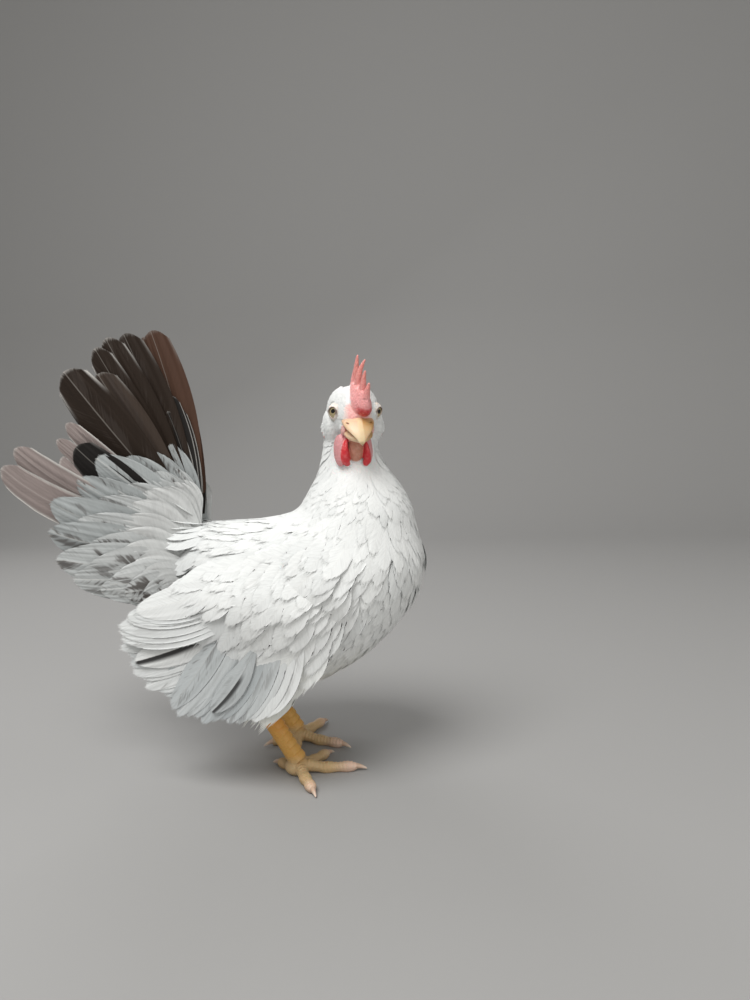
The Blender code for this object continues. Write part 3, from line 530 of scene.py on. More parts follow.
class Shade:
    """A material's nodes, with short names for the ones that are used often."""

    def __init__(self, name):
        self.material = bpy.data.materials.new(name)
        self.material.use_nodes = True
        self.tree = self.material.node_tree
        self.shader = self.tree.nodes["Principled BSDF"]

    def link(self, value, socket):
        if isinstance(value, bpy.types.NodeSocket):
            self.tree.links.new(value, socket)
        elif isinstance(value, tuple) and len(value) == 3 and socket.type == "RGBA":
            socket.default_value = (*value, 1.0)
        else:
            socket.default_value = value

    def set(self, **values):
        for name, value in values.items():
            self.link(value, self.shader.inputs[name.replace("_", " ")])

    def node(self, kind, inputs=None, **settings):
        """The outputs of a new node; its inputs are given by number or by name."""
        node = self.tree.nodes.new("ShaderNode" + kind)
        for name, value in settings.items():
            setattr(node, name, value)
        for key, value in (inputs or {}).items():
            self.link(value, node.inputs[key])
        return node.outputs

    def math(self, operation, a, b=0.0, clamp=False):
        return self.node("Math", {0: a, 1: b}, operation=operation, use_clamp=clamp)[0]

    def plus(self, *terms):
        return reduce(lambda a, b: self.math("ADD", a, b), terms)

    def minus(self, a, b):
        return self.math("SUBTRACT", a, b)

    def times(self, *factors):
        return reduce(lambda a, b: self.math("MULTIPLY", a, b), factors)

    def step(self, value, low, high):
        """0 at low, 1 at high and smooth between; low may be above high."""
        ends = (0.0, 1.0) if low <= high else (1.0, 0.0)
        inputs = dict(enumerate((value, min(low, high), max(low, high), *ends)))
        return self.node("MapRange", inputs, interpolation_type="SMOOTHSTEP")[0]

    def mix(self, share, a, b):
        return self.node("Mix", {0: share, 6: a, 7: b}, data_type="RGBA")[2]

    def attribute(self, name):
        return self.node("Attribute", attribute_name=name)["Color"]

    def parts(self, vector):
        return self.node("SeparateXYZ", {0: vector})

    def join(self, x, y, z):
        return self.node("CombineXYZ", {0: x, 1: y, 2: z})[0]

    def own_place(self):
        return self.node("TexCoord")["Object"]

    def noise(self, vector, scale, detail=3.0):
        return self.node("TexNoise", {"Vector": vector, "Scale": scale, "Detail": detail})["Fac"]

    def cells(self, vector, scale):
        return self.node("TexVoronoi", {"Vector": vector, "Scale": scale})["Distance"]

    def bump(self, height, distance, strength):
        bump = self.node("Bump", {"Strength": strength, "Distance": distance, "Height": height})
        self.link(bump[0], self.shader.inputs["Normal"])


def feather_material(name, barbs, fray):
    """Slanting barbs on a shaft, with the rim, brushed flecks and stripe that each feather asks for, and
    painted shade in the partings between barbs.
    """
    shade = Shade(name)
    plus, minus, times, step = shade.plus, shade.minus, shade.times, shade.step
    across, along, _ = shade.parts(shade.node("UVMap", uv_map="feather")[0])
    rim, mottle, stripe = shade.parts(shade.attribute("marks"))
    seed = shade.parts(shade.attribute("seed"))[0]
    out = shade.math("ABSOLUTE", minus(times(across, 2.0), 1.0))
    slant = minus(along, times(out, 0.2))
    side = shade.math("GREATER_THAN", across, 0.5)
    offset = plus(times(seed, 50.0), times(side, 7.0))
    strands = shade.noise(shade.join(times(slant, barbs), times(out, 1.2), offset), 1.0)
    blobs = shade.noise(shade.join(times(slant, 4.0), times(out, 2.0), offset), 1.0, 1.5)
    brushed = plus(blobs, times(minus(strands, 0.5), 0.65))
    fleck = times(step(brushed, 0.5, 0.7), step(out, 1.0, 0.55), mottle)
    colour = shade.mix(fleck, shade.attribute("tone"), FLECK_COLOUR)
    frayed = times(minus(strands, 0.5), fray)
    whole = shade.math("GREATER_THAN", rim, 1.0)
    zone = shade.math("MAXIMUM", step(along, 0.72, 0.92), whole)
    edge_out = times(step(plus(out, frayed), 0.8, 0.98), zone)
    tip_place = plus(along, frayed, times(out, out, 0.05))
    edge = shade.math("MAXIMUM", edge_out, step(tip_place, 0.945, 0.985))
    edge = shade.math("MULTIPLY", edge, minus(rim, whole), clamp=True)
    colour = shade.mix(edge, colour, RIM_COLOUR)
    band = times(step(plus(across, frayed), 0.5, 0.53), step(across, 0.76, 0.6),
                 times(step(along, 0.25, 0.45), step(along, 1.0, 0.95)), stripe)
    colour = shade.mix(band, colour, STRIPE_COLOUR)
    colour = shade.mix(times(step(out, 0.035, 0.014), 0.16), colour, QUILL_COLOUR)
    # Painted shade: the partings between the barbs are darkened.
    parting_shade = times(step(strands, 0.56, 0.36), 0.14)
    colour = shade.mix(parting_shade, colour, shade.mix(0.55, colour, (0.0, 0.0, 0.0)))
    shade.set(Base_Color=colour, Roughness=0.62, Specular_IOR_Level=0.22, Sheen_Weight=0.04,
              Sheen_Roughness=0.5)
    shade.bump(strands, 0.00018, 0.5)
    return shade.material


def skin_material():
    """Skin that takes its colour from the painted flesh, pebbled where it is bare."""
    shade = Shade("bare_skin")
    place, flesh = shade.own_place(), shade.attribute("flesh")
    blotch = shade.step(shade.noise(place, 420.0, 4.0), 0.42, 0.7)
    pebble = shade.cells(place, 900.0)
    colour = shade.mix(shade.times(blotch, 0.25), flesh, BLOTCH_COLOUR)
    colour = shade.mix(shade.times(shade.step(pebble, 0.3, 0.75), 0.22), colour, PEBBLE_COLOUR)
    bare = shade.parts(shade.attribute("bare"))[0]
    shade.set(Base_Color=shade.mix(bare, flesh, colour), Roughness=0.48, Subsurface_Weight=0.12,
              Subsurface_Radius=(1.0, 0.35, 0.25), Subsurface_Scale=0.0012)
    shade.bump(pebble, 0.00025, 0.7)
    return shade.material


def horn_material(name, dark, light):
    """Streaked horn that takes most of its colour from the painted tone."""
    shade = Shade(name)
    place = shade.own_place()
    streak = shade.step(shade.noise(place, 260.0, 4.0), 0.35, 0.7)
    colour = shade.mix(0.85, shade.mix(streak, dark, light), shade.attribute("tone"))
    shade.set(Base_Color=colour, Roughness=0.44, Coat_Weight=0.04, Subsurface_Weight=0.1,
              Subsurface_Scale=0.001)
    shade.bump(shade.noise(place, 1500.0), 0.00006, 0.4)
    return shade.material


def eye_material(side):
    """A dark pupil in an olive iris with fine rays and a dark rim."""
    shade = Shade("eye_" + SIDE_NAMES[side])
    ring = shade.parts(shade.attribute("iris"))[0]
    rays = shade.step(shade.noise(shade.own_place(), 2600.0, 2.0), 0.35, 0.65)
    iris = shade.mix(rays, *IRIS_COLOURS)
    iris = shade.mix(shade.step(ring, 0.95, 1.3), iris, IRIS_RIM_COLOUR)
    colour = shade.mix(shade.step(ring, 0.33, 0.28), iris, PUPIL_COLOUR)
    shade.set(Base_Color=colour, Roughness=0.1, Specular_IOR_Level=0.4, Coat_Weight=0.35,
              Coat_Roughness=0.03)
    return shade.material


# Skin


def torso_form(inset):
    rings = []
    for x, top, bottom, half_width in smooth_table(TORSO_SECTIONS, 4):
        reach = half_width - inset, (top - bottom) / 2 - inset
        rings.append(oval_ring((x, 0, (top + bottom) / 2), (0, 1, 0), (0, 0, 1), *reach, 40, 2.2))
    (rear_x, rear_z), (front_x, front_z) = TORSO_ENDS
    rear, front = (rear_x + inset * 0.4, 0, rear_z), (front_x - inset, 0, front_z)
    return loft("torso_form", rings, np.array(rear), np.array(front))


def neck_form(inset):
    rings = []
    for z, back, front, half_width in smooth_table(NECK_SECTIONS, 4):
        reach = (front - back) / 2 - inset, half_width - inset
        rings.append(oval_ring(((back + front) / 2, 0, z), (1, 0, 0), (0, 1, 0), *reach, 40))
    low, high = NECK_SECTIONS[0], NECK_SECTIONS[-1]
    foot, top = ((low[1] + low[2]) / 2, 0, low[0] - 0.002), ((high[1] + high[2]) / 2, 0, high[0] + 0.003)
    return loft("neck_form", rings, np.array(foot), np.array(top))


def head_loft(name, sections, ends, inset, count, power, steps=4):
    """A form of the head through ovals set across its forward axis."""
    rings = []
    for u, half_width, top, bottom in smooth_table(sections, steps):
        reach = half_width - inset, (top - bottom) / 2 - inset
        rings.append(oval_ring(in_head(u, 0, (top + bottom) / 2), HEAD_LEFT, HEAD_UP, *reach, count, power))
    (back_u, back_w), (front_u, front_w) = ends
    return loft(name, rings, in_head(back_u + inset, 0, back_w), in_head(front_u - inset, 0, front_w))


def head_form(inset):
    return head_loft("head_form", HEAD_SECTIONS, HEAD_ENDS, inset, 40, 2.15)


def foot_joint(side):
    x, y = FOOT_PLACES[side]
    return np.array((x, y, SHANK_FOOT_HEIGHT))


def hock(side):
    x, y, z = HOCK_OFFSET
    return foot_joint(side) + np.array((x, -side * y, z))


def thigh_form(side, inset):
    x, y, _ = hock(side)
    x += THIGH_AHEAD
    low, high = THIGH_SECTIONS[-1][0], THIGH_SECTIONS[0][0]
    rings = []
    for z, radius in smooth_table(THIGH_SECTIONS, 4):
        centre = (x + (z - low) * 0.1, y + side * 0.002, z)
        rings.append(oval_ring(centre, (1, 0, 0), (0, 1, 0), radius * 1.1 - inset, radius - inset, 28))
    return loft("thigh_form", rings, np.array((x, y, high + 0.001)), np.array((x, y, low - 0.001)))


def wing_form(side, inset):
    x, y, z = WING_PAD_CENTRE
    size = np.array(WING_PAD_SIZE) - inset
    return ball("wing_form", (x, side * y, z), size, turn_about("Y", -WING_PAD_TILT), 40, 24)


def head_ball(name, side, place, size):
    return ball(name, on_side(side, place), size, HEAD_AXES.T)


def tail_form():
    x, z = TAIL_CORE_CENTRE
    return ball("tail_form", (x, 0, z), TAIL_CORE_SIZE, turn_about("Y", TAIL_CORE_TURN), 32, 20)


def limb(name, path, radii, count, relief=None):
    """A round limb along a path, with a relief that takes the share along and the angle round."""
    path = np.asarray(path)
    ahead = unit(np.gradient(path, axis=0))
    rings = []
    angles = np.arange(count) * 2 * math.pi / count
    for i, (place, axis, radius) in enumerate(zip(path, ahead, radii)):
        flat = np.array((0.0, 0.0, 1.0) if abs(axis[2]) < 0.9 else (1.0, 0.0, 0.0))
        up = unit(flat - axis * (flat @ axis))
        side = np.cross(up, axis)
        height = relief(i / (len(path) - 1), angles) if relief else 0.0
        reach = (radius + height) * np.ones(count)
        ring = place + np.outer(np.cos(angles) * reach, side) + np.outer(np.sin(angles) * reach, up)
        rings.append(list(ring))
    return loft(name, rings, path[0] - (path[1] - path[0]) * 0.3, path[-1] + (path[-1] - path[-2]) * 0.3)


def scute_relief(count, depth, centre, reach):
    """Scutes: steps that overlap towards the foot on the side at this angle, and small scales elsewhere."""
    def height(share, angles):
        around = angles - centre
        plate = ramp(np.cos(around), reach - 0.18, reach + 0.1)
        phase = (share * count + 0.1 * np.cos(around * 2.0)) % 1.0
        rise = 0.25 + 0.75 * np.sin(phase * math.pi * 0.5) ** 0.7
        step = depth * rise * np.minimum(1.0, (1.0 - phase) * 6.0)
        along = share * count * 2.2 * math.pi
        scales = np.abs(np.sin(along) * np.cos(angles * 5.0) + np.cos(along) * np.sin(angles * 5.0)) ** 0.6
        return plate * step + (1 - plate) * (0.45 * depth * scales)
    return height


def shank_form(side):
    foot, top = foot_joint(side), hock(side)
    share = np.linspace(0, 1, 190)
    path = foot + np.outer(share, top - foot)
    radii = np.interp(share, np.linspace(0, 1, len(SHANK_RADII)), SHANK_RADII)
    return limb("shank_form", path[::-1], radii[::-1] - 0.0003, 64,
                scute_relief(10, 0.0008, math.pi / 2, 0.3))


def toe_axis(side, name):
    azimuth, length = TOES[side][name]
    turn = math.radians(azimuth)
    return np.array((math.cos(turn), math.sin(turn), 0.0)), length


def toe_form(side, name):
    forward, length = toe_axis(side, name)
    joints = 3 if name != "hind" else 2
    share = np.linspace(0, 1, 110)
    path = foot_joint(side) + np.outer(share * (length - CLAW_LENGTH + 0.0012), forward)
    drop = np.minimum(share * 2.2, 1.0)
    path[:, 2] = TOE_ROOT_HEIGHT + (TOE_AXIS_HEIGHT - TOE_ROOT_HEIGHT) * drop
    radii = TOE_RADIUS + 0.0002 + (TOE_TIP_RADIUS - TOE_RADIUS) * share
    radii = radii - 0.00026 * np.cos(share * joints * 2 * math.pi) * (share > 0.15)
    radii = radii * np.sqrt(np.clip(1 - ((share - 0.9) / 0.108).clip(0) ** 2, 0.05, 1))
    return limb("toe_form", path, radii, 40, scute_relief(joints * 5, 0.0006, math.pi / 2, 0.05))


def leg_forms(side):
    x, y, _ = foot_joint(side)
    pad = ball("pad", (x, y, FOOT_PAD_HEIGHT), FOOT_PAD_SIZE)
    return [shank_form(side), pad] + [toe_form(side, name) for name in TOES[side]]


def comb_forms():
    """The comb's thick pebbly body and the spikes that stand on it."""
    rings = []
    angles = np.arange(40) * 2 * math.pi / 40
    across, along = np.cos(angles), np.sin(angles)
    for w, u, half_length, half_width in smooth_table(COMB_BODY, 3):
        ring_u = u + half_length * np.sign(along) * np.abs(along) ** 0.8
        thick = half_width * (0.5 + 0.5 * ramp(ring_u, -0.01, 0.01))
        lean = COMB_SET + COMB_LEAN * np.maximum(ring_u, 0.0)
        ring_v = lean + thick * across * (0.62 + 0.38 * np.abs(across))
        rings.append([in_head(a, b, w) for a, b in zip(ring_u, ring_v)])
    (foot, foot_u), middle = COMB_BODY[0][:2], COMB_BODY[-1][1]
    forms = [loft("comb_body", rings, in_head(foot_u, 0.0, foot - 0.001),
                  in_head(middle, COMB_LEAN * middle, COMB_TOP))]
    for spike in COMB_SPIKES:
        rows = smooth_table(spike, 6)
        rings = [oval_ring(in_head(u, v, w), HEAD_FORWARD, HEAD_LEFT, radius, radius * 0.72, 16)
                 for u, v, w, radius in rows]
        u, v, w = rows[-1][:3]
        forms.append(loft("comb_spike", rings, in_head(*rows[0][:3]), in_head(u, v, w + 0.0004)))
    return forms


def wattle_place(side, u, v, w):
    return in_head(u, side * v + WATTLE_SHIFT, w + WATTLE_DROP[side])


def wattle_rim_rows(side):
    """Places down the middle of a wattle's red rim, with its radius there."""
    rows = smooth_table(WATTLE_RIM, 6)
    return np.array([wattle_place(side, *row[:3]) for row in rows]), rows[:, 3]


def fold_place(side):
    return wattle_place(side, *WATTLE_FOLD[side])


def wattle_forms(side):
    """A flat fold behind and a thick red rim that curves down and in."""
    turn = turn_about("Z", HEAD_AZIMUTH) @ turn_about("Z", -side * WATTLE_YAW)
    fold = ball("wattle_fold", fold_place(side), WATTLE_FOLD_SIZE, turn)
    places, radii = wattle_rim_rows(side)
    rings = [oval_ring(place, HEAD_FORWARD, HEAD_LEFT, radius * 1.15, radius, 20)
             for place, radius in zip(places, radii)]
    down = unit(places[-1] - places[-2])
    rim = loft("wattle_rim", rings, places[0] + HEAD_UP * 0.0008, places[-1] + down * 0.0012)
    return [fold, rim]


def look_from(side, turn, lift):
    level = side * HEAD_LEFT * math.sin(turn) + HEAD_FORWARD * math.cos(turn)
    return level * math.cos(lift) + HEAD_UP * math.sin(lift)


def lid_look(side):
    """The way the opening between the lids faces."""
    return look_from(side, LID_TURN, LID_LIFT[side])


def lid_forms(side):
    """A thin shell over the eye and the raised rim of the lids."""
    centre, look = eye_centre(side), lid_look(side)
    ahead = unit(np.cross(HEAD_UP, look)) * side
    up = np.cross(look, ahead) * side
    half_width, half_height = (half + LID_RIM_OUT for half in LID_OPENING)
    reach = EYE_RADIUS + 0.0002
    points, faces = [], []
    around, sides = 48, 10
    for i in range(around):
        angle = 2 * math.pi * i / around
        out = ahead * math.cos(angle) * half_width + up * math.sin(angle) * half_height
        place = centre + out + look * math.sqrt(reach ** 2 - out @ out)
        thick_out, thick_up = unit(out) * LID_RIM_RADIUS, look * LID_RIM_RADIUS
        low, high = i * sides, (i + 1) % around * sides
        for k in range(sides):
            turn, following = 2 * math.pi * k / sides, (k + 1) % sides
            points.append(place + thick_out * math.cos(turn) + thick_up * math.sin(turn))
            faces.append((low + k, low + following, high + following, high + k))
    shell = ball("lid_shell", centre, [EYE_RADIUS + LID_THICKNESS] * 3, HEAD_AXES.T, 40, 28)
    return [shell, closed_mesh("lid_rim", points, faces)]


def lid_opening(side):
    """What is cut out of the lids: an oval tube along the way the eye looks."""
    centre, look = eye_centre(side), lid_look(side)
    ahead = unit(np.cross(HEAD_UP, look))
    up = np.cross(look, ahead)
    near, far = (centre + look * depth for depth in (0.0012, 0.007))
    rings = [oval_ring(place, ahead, up, *LID_OPENING, 48) for place in (near, far)]
    return loft("lid_opening", rings, near, far)


def eye_centre(side):
    return on_side(side, EYE_PLACE)


def height_over(points, trees, near):
    """How far each of the near points stands out of the lowest of the smooth forms."""
    height = np.zeros(len(points))
    for i in np.flatnonzero(near):
        place = Vector(points[i])
        spots = [tree.find_nearest(place) for tree in trees]
        height[i] = min((place - spot).dot(normal) for spot, normal, _, _ in spots)
    return height


def pebbled(obj, trees):
    """Raises small warts along the normals of the comb and wattles; trees are the head they grow from."""
    points, normals = points_of(obj.data), normals_of(obj.data)
    away = height_over(points, trees, np.ones(len(points), bool))
    cells = np.array([noise.voronoi(Vector(p * WARTS_A_METRE))[0][0] if h > WART_START else 0.5
                      for p, h in zip(points, away)])
    share = np.clip((away - WART_START) / 0.001, 0, 1)
    raised = WART_HEIGHT * (0.5 - np.minimum(cells, 1.0)) * share
    points += normals * raised[:, None]
    obj.data.vertices.foreach_set("co", points.astype(np.float32).ravel())
    obj.data.update()


def tree_of(obj):
    points = [Vector(p) for p in points_of(obj.data)]
    return BVHTree.FromPolygons(points, triangles_of(obj.data).tolist())


def build_skin():
    """The whole bird's skin, one closed surface, and the body's part of it for the coat to stand on."""
    body_forms = [torso_form(TORSO_COAT), neck_form(NECK_COAT), head_form(HEAD_CORE_COAT), tail_form()]
    for side in SIDES:
        body_forms += [thigh_form(side, THIGH_COAT), wing_form(side, WING_COAT)]
        body_forms.append(head_ball("cheek", side, CHEEK_PLACE, CHEEK_SIZE))
    plain_head, plain_neck = head_form(HEAD_COAT), neck_form(NECK_COAT)
    trees = [tree_of(plain_head), tree_of(plain_neck)]
    remove_objects([plain_neck])
    body = fused(body_forms, BODY_VOXEL, 6)
    head_forms = [plain_head] + comb_forms()
    for side in SIDES:
        u, w = EARLOBE_PLACE
        head_forms += wattle_forms(side) + lid_forms(side)
        head_forms.append(head_ball("earlobe", side, (u, EARLOBE_OUT, w), EARLOBE_SIZE))
        head_forms.append(head_ball("gape", side, GAPE_PLACE, GAPE_SIZE))
    head_forms.append(ball("throat", in_head(*THROAT_PLACE), THROAT_SIZE, HEAD_AXES.T))
    head_forms.append(ball("chin", in_head(*CHIN_PLACE), CHIN_SIZE, HEAD_AXES.T))
    head = fused(head_forms, HEAD_VOXEL, 2)
    pebbled(head, trees)
    socket_size = [EYE_RADIUS + EYE_GAP] * 3
    sockets = [ball("socket", eye_centre(side), socket_size, HEAD_AXES.T, 48, 32) for side in SIDES]
    boolean(head, sockets + [lid_opening(side) for side in SIDES], "DIFFERENCE")
    ground = new_object("coat_ground", body.data.copy())
    boolean(ground, [new_object("head_ground", head.data.copy())], "UNION")
    legs = [form for side in SIDES for form in leg_forms(side)]
    boolean(body, [head] + legs, "UNION")
    corners = [(x, y, z) for x in (-0.3, 0.3) for y in (-0.3, 0.3) for z in (-0.05, 0.0)]
    faces = [(0, 1, 3, 2), (4, 5, 7, 6), (0, 1, 5, 4), (2, 3, 7, 6), (0, 2, 6, 4), (1, 3, 7, 5)]
    boolean(body, [closed_mesh("below_floor", corners, faces)], "DIFFERENCE")
    colour_skin(body, trees)
    body.name = "skin"
    return body, ground


def colour_skin(body, trees):
    """Paints the skin white under the coat and in the colours of flesh where it is bare, with a painted
    shadow along each upper lid's rim.
    """
    points = points_of(body.data)
    u, v, w = head_coordinates(points).T
    near_head = norms(points - HEAD_CENTRE) < HEAD_REACH
    away = height_over(points, trees, near_head)
    colours = np.tile(np.array(WHITE) * 0.97, (len(points), 1))

    def lay(share, colour):
        colours[:] = colours + np.asarray(share, float)[:, None] * (np.asarray(colour) - colours)

    out = np.abs(v)
    lores = near_head * ramp(u, 0.0078, 0.01) * ramp(w, 0.01, 0.0075) * ramp(w, -0.012, -0.0095)
    lay(lores * ramp(out, 0.009, 0.006), LORES_COLOUR)
    between = lores * ramp(out, 0.0072, 0.0038)
    lay(between * ramp(w, -0.001, 0.002), BROW_COLOUR)
    comb = near_head * ramp(w, 0.001, 0.004) * ramp(away, 0.0003, 0.001) * (out < 0.0088)
    lay(comb, mixed(COMB_COLOUR, COMB_TIP_COLOUR, ramp(w, 0.012, 0.026)[:, None]))
    lay(comb * ramp(u, 0.013, 0.0165) * ramp(w, 0.0105, 0.008) * ramp(v, -0.003, 0.0005), COMB_FOOT_COLOUR)
    gape = near_head * ramp(away, 0.0001, 0.0006) * (out > 0.0055) * (w < -0.002) * (w > -0.0085)
    lay(gape * (u > 0.008), GAPE_COLOUR)
    across = np.abs(v - WATTLE_SHIFT)
    wattle = near_head * ramp(away, 0.0006, 0.0018) * (w < -0.007) * (w > -0.03) * (u > 0.0075)
    lay(wattle * (across > 0.003), WATTLE_COLOUR)
    inside = (np.stack((u, v, w), axis=1) - THROAT_PLACE) / THROAT_SIZE
    lay(wattle * ramp(norms(inside), 1.16, 1.06), THROAT_COLOUR)
    for side in SIDES:
        places, radii = wattle_rim_rows(side)
        gaps = norms(points[:, None] - places[None]) / (radii + 0.0004)
        lay(wattle * ramp(gaps.min(axis=1), 1.26, 1.1), WATTLE_RIM_COLOUR)
    lobes = near_head * ramp(away, 0.0003, 0.001) * (np.abs(u - EARLOBE_PLACE[0]) < 0.0045) * (w < -0.004)
    lay(lobes * (out > 0.01), EARLOBE_COLOUR)
    for side in SIDES:
        apart = points - eye_centre(side)
        lay(ramp(norms(apart), 0.0058, 0.0051), LID_COLOUR)
        look = lid_look(side)
        ahead = apart @ look
        from_axis = norms(apart - np.outer(ahead, look))
        # Painted shadow along the rim of the upper lid, over the top of the opening.
        edge = ramp(from_axis, 0.0034, 0.003) * (ahead > 0.0015) * ramp(apart @ HEAD_UP, -0.001, 0.0012)
        lay(edge * (norms(apart) < 0.0056), UPPER_LID_SHADOW_COLOUR)
    low = points[:, 2]
    toe = ramp(low, 0.013, 0.006)[:, None]
    leg_colours = mixed(SHANK_COLOUR, TOE_COLOUR, toe)
    leg_colours = mixed(leg_colours, HOCK_COLOUR, ramp(low, 0.018, 0.036)[:, None])
    reach = np.min([norms(points - foot_joint(side)) for side in SIDES], axis=0)
    leg_colours = mixed(leg_colours, TOE_TIP_COLOUR, ramp(reach, 0.018, 0.032)[:, None] * toe * 0.8)
    leg = low < LEG_TOP
    colours[leg] = leg_colours[leg]
    paint(body.data, "flesh", colours)
    bare = np.maximum.reduce([comb, wattle * 0.6, between * 0.9, 0.25 * lobes])
    paint(body.data, "bare", bare[:, None])


# Feathers


class Batch:
    """Feathers gathered into one mesh, with what their material reads."""

    def __init__(self):
        self.blocks, self.count = [], 0

    def add(self, points, quads, threes, *values):
        """Values are the feather map, the OFBake map, tones, marks and seeds, one of each for every point."""
        self.blocks.append((points, quads + self.count, threes + self.count, *values))
        self.count += len(points)

    def piece(self, name, material, slot):
        points, quads, threes, feather, bake, tones, marks, seeds = map(np.concatenate, zip(*self.blocks))
        mesh = fill_mesh(name, points, [quads, threes])
        corners = values_of(mesh.loops, "vertex_index", 1, np.int32)[:, 0]
        for map_name, values in (("feather", feather), ("OFBake", bake)):
            layer = mesh.uv_layers.new(name=map_name)
            layer.uv.foreach_set("vector", values[corners].astype(np.float32).ravel())
        for layer_name, values in (("tone", tones), ("marks", marks), ("seed", seeds[:, None])):
            paint(mesh, layer_name, values)
        return place_piece(new_object(name, mesh), material)


def tuft_template(rows, cells, fringe):
    """Rows of points across a tuft, then the loose ends of its barbs at the tip and down both sides."""
    places = [(s, c, 0) for s in rows for c in np.linspace(-1, 1, cells + 1)]
    width, last = cells + 1, (len(rows) - 1) * (cells + 1)
    quads = [(a, a + 1, a + width + 1, a + width)
             for low in range(0, last, width) for a in range(low, low + cells)]
    threes = []
    for i in range(cells):
        threes.append((last + i, last + i + 1, len(places)))
        places.append((1.0, ((i + 0.5) / cells * 2 - 1) * 0.97, 1))
    for r in range(len(rows) // 3, len(rows) - 1):
        for edge in (0, cells):
            threes.append((r * width + edge, (r + 1) * width + edge, len(places)))
            places.append((rows[r + 1] + 0.6 * (rows[r + 1] - rows[r]), fringe if edge else -fringe, 1))
    return places, np.array(quads), np.array(threes)


def tuft_rows(count, reach):
    return np.linspace(0.0, 1.0, count) ** 0.8 * reach


def tuft_width(s):
    swell = 0.28 + 0.72 * math.sin(min(s / 0.62, 1.0) * math.pi / 2)
    return swell * (1 - 0.26 * (max(s - 0.62, 0.0) / 0.38) ** 2)


def add_tufts(batch, paths, normals, lengths, half_widths, lifts, tones, marks, bakes, cells, rows,
              pointed=0.26, dome=0.07, loose=0.09, tip_at=0.86, patch=0.003, twisting=0.09, shaft=0.0,
              fringe=1.1, reach=0.9):
    """Soft feathers along paths, domed across, ridged by their barbs and frayed at their ends."""
    places, quads, threes = tuft_template(tuft_rows(rows, reach), cells, fringe)
    count, each = len(paths), len(places)
    last_station = paths.shape[1] - 1
    ahead = unit(np.gradient(paths, axis=1))
    across = unit(np.cross(normals, ahead))
    points, feather = np.empty((count, each, 3)), np.empty((count, each, 2))
    strays = random.uniform(-1.0, 1.0, (count, each)) * loose
    ridges = random.uniform(-1.0, 1.0, (count, cells + 1))
    twist = random.uniform(-twisting, twisting, count)
    every = np.arange(count)
    for k, (s, c, loose_end) in enumerate(places):
        back = np.full(count, s - pointed * c * c * s * s)
        if loose_end:
            back = back + strays[:, k]
        back = np.clip(back, 0.0, 1.15)
        spot = np.clip(back, 0.0, 1.0) * last_station
        low = np.minimum(spot.astype(int), last_station - 1)
        t = (spot - low)[:, None]
        place, normal, side = (values[every, low] * (1 - t) + values[every, low + 1] * t
                               for values in (paths, normals, across))
        place += ahead[:, -1] * (np.maximum(back - 1.0, 0.0) * lengths)[:, None]
        width = half_widths * tuft_width(min(s, 1.0))
        column = min(max(int(round((c + 1) / 2 * cells)), 0), cells)
        ridge = ridges[:, column] * half_widths * 0.022 * s
        height = lifts * back ** 0.8 - dome * width * c * c + ridge + twist * width * c * s
        height = height + shaft * (1 - 0.7 * s) * (abs(c) < 0.01)
        points[:, k] = place + side * (width * c)[:, None] + normal * height[:, None]
        feather[:, k] = np.stack((np.full(count, np.clip(0.5 + 0.5 * c, 0.0, 1.0)), back * tip_at), axis=1)
    offsets = (np.arange(count) * each)[:, None, None]
    spread = (np.clip(feather, 0, 1) - 0.5) * patch
    batch.add(
        points.reshape(-1, 3),
        (quads[None] + offsets).reshape(-1, 4),
        (threes[None] + offsets).reshape(-1, 3),
        feather.reshape(-1, 2),
        (bakes[:, None, :] + spread).reshape(-1, 2),
        np.repeat(tones, each, axis=0),
        np.repeat(marks, each, axis=0),
        np.repeat(random.uniform(0, 1, count), each),
    )


# Lie of the coat: a place in millimetres, on the right or the middle of the bird, and the way feathers point
BODY_LIE = (
    ((58, 0, 180), (0.2, 0, -1)),
    ((40, -20, 180), (-0.05, -0.15, -1)),
    ((18, 0, 180), (-0.3, 0, -1)),
    ((3, 0, 156), (-0.9, 0, -0.45)),
    ((30, -35, 148), (-0.45, -0.15, -0.85)),
    ((76, 0, 148), (0.1, 0, -1)),
    ((79, 0, 115), (-0.15, 0, -1)),
    ((60, -35, 110), (-0.42, 0, -0.9)),
    ((58, 0, 75), (-0.75, 0, -0.65)),
    ((30, -45, 85), (-0.48, 0, -0.88)),
    ((15, -45, 65), (-0.6, 0, -0.8)),
    ((20, -35, 150), (-0.78, 0, -0.6)),
    ((20, 0, 155), (-1, 0, -0.05)),
    ((-10, 0, 148), (-1, 0, 0)),
    ((-45, 0, 146), (-0.95, 0, 0.3)),
    ((-60, 0, 140), (-0.75, 0, 0.65)),
    ((-54, -18, 135), (-0.95, 0, 0.3)),
    ((-50, -26, 124), (-0.98, 0, -0.05)),
    ((-10, -40, 135), (-0.86, 0, -0.5)),
    ((-35, -32, 125), (-0.88, -0.05, -0.46)),
    ((-58, -12, 118), (-0.95, 0, -0.25)),
    ((10, 0, 48), (-1, 0, -0.15)),
    ((-30, -20, 70), (-0.9, 0, -0.45)),
    ((-55, 0, 105), (-0.8, 0, -0.6)),
    ((-4, -22, 50), (-0.3, 0, -1)),
    ((30, -58, 118), (-0.6, 0, -0.8)),
    ((5, -58, 100), (-0.58, 0, -0.82)),
    ((-20, -55, 85), (-0.64, 0, -0.77)),
    ((-30, -52, 110), (-0.8, 0, -0.6)),
    ((-45, -50, 95), (-0.84, 0, -0.54)),
)
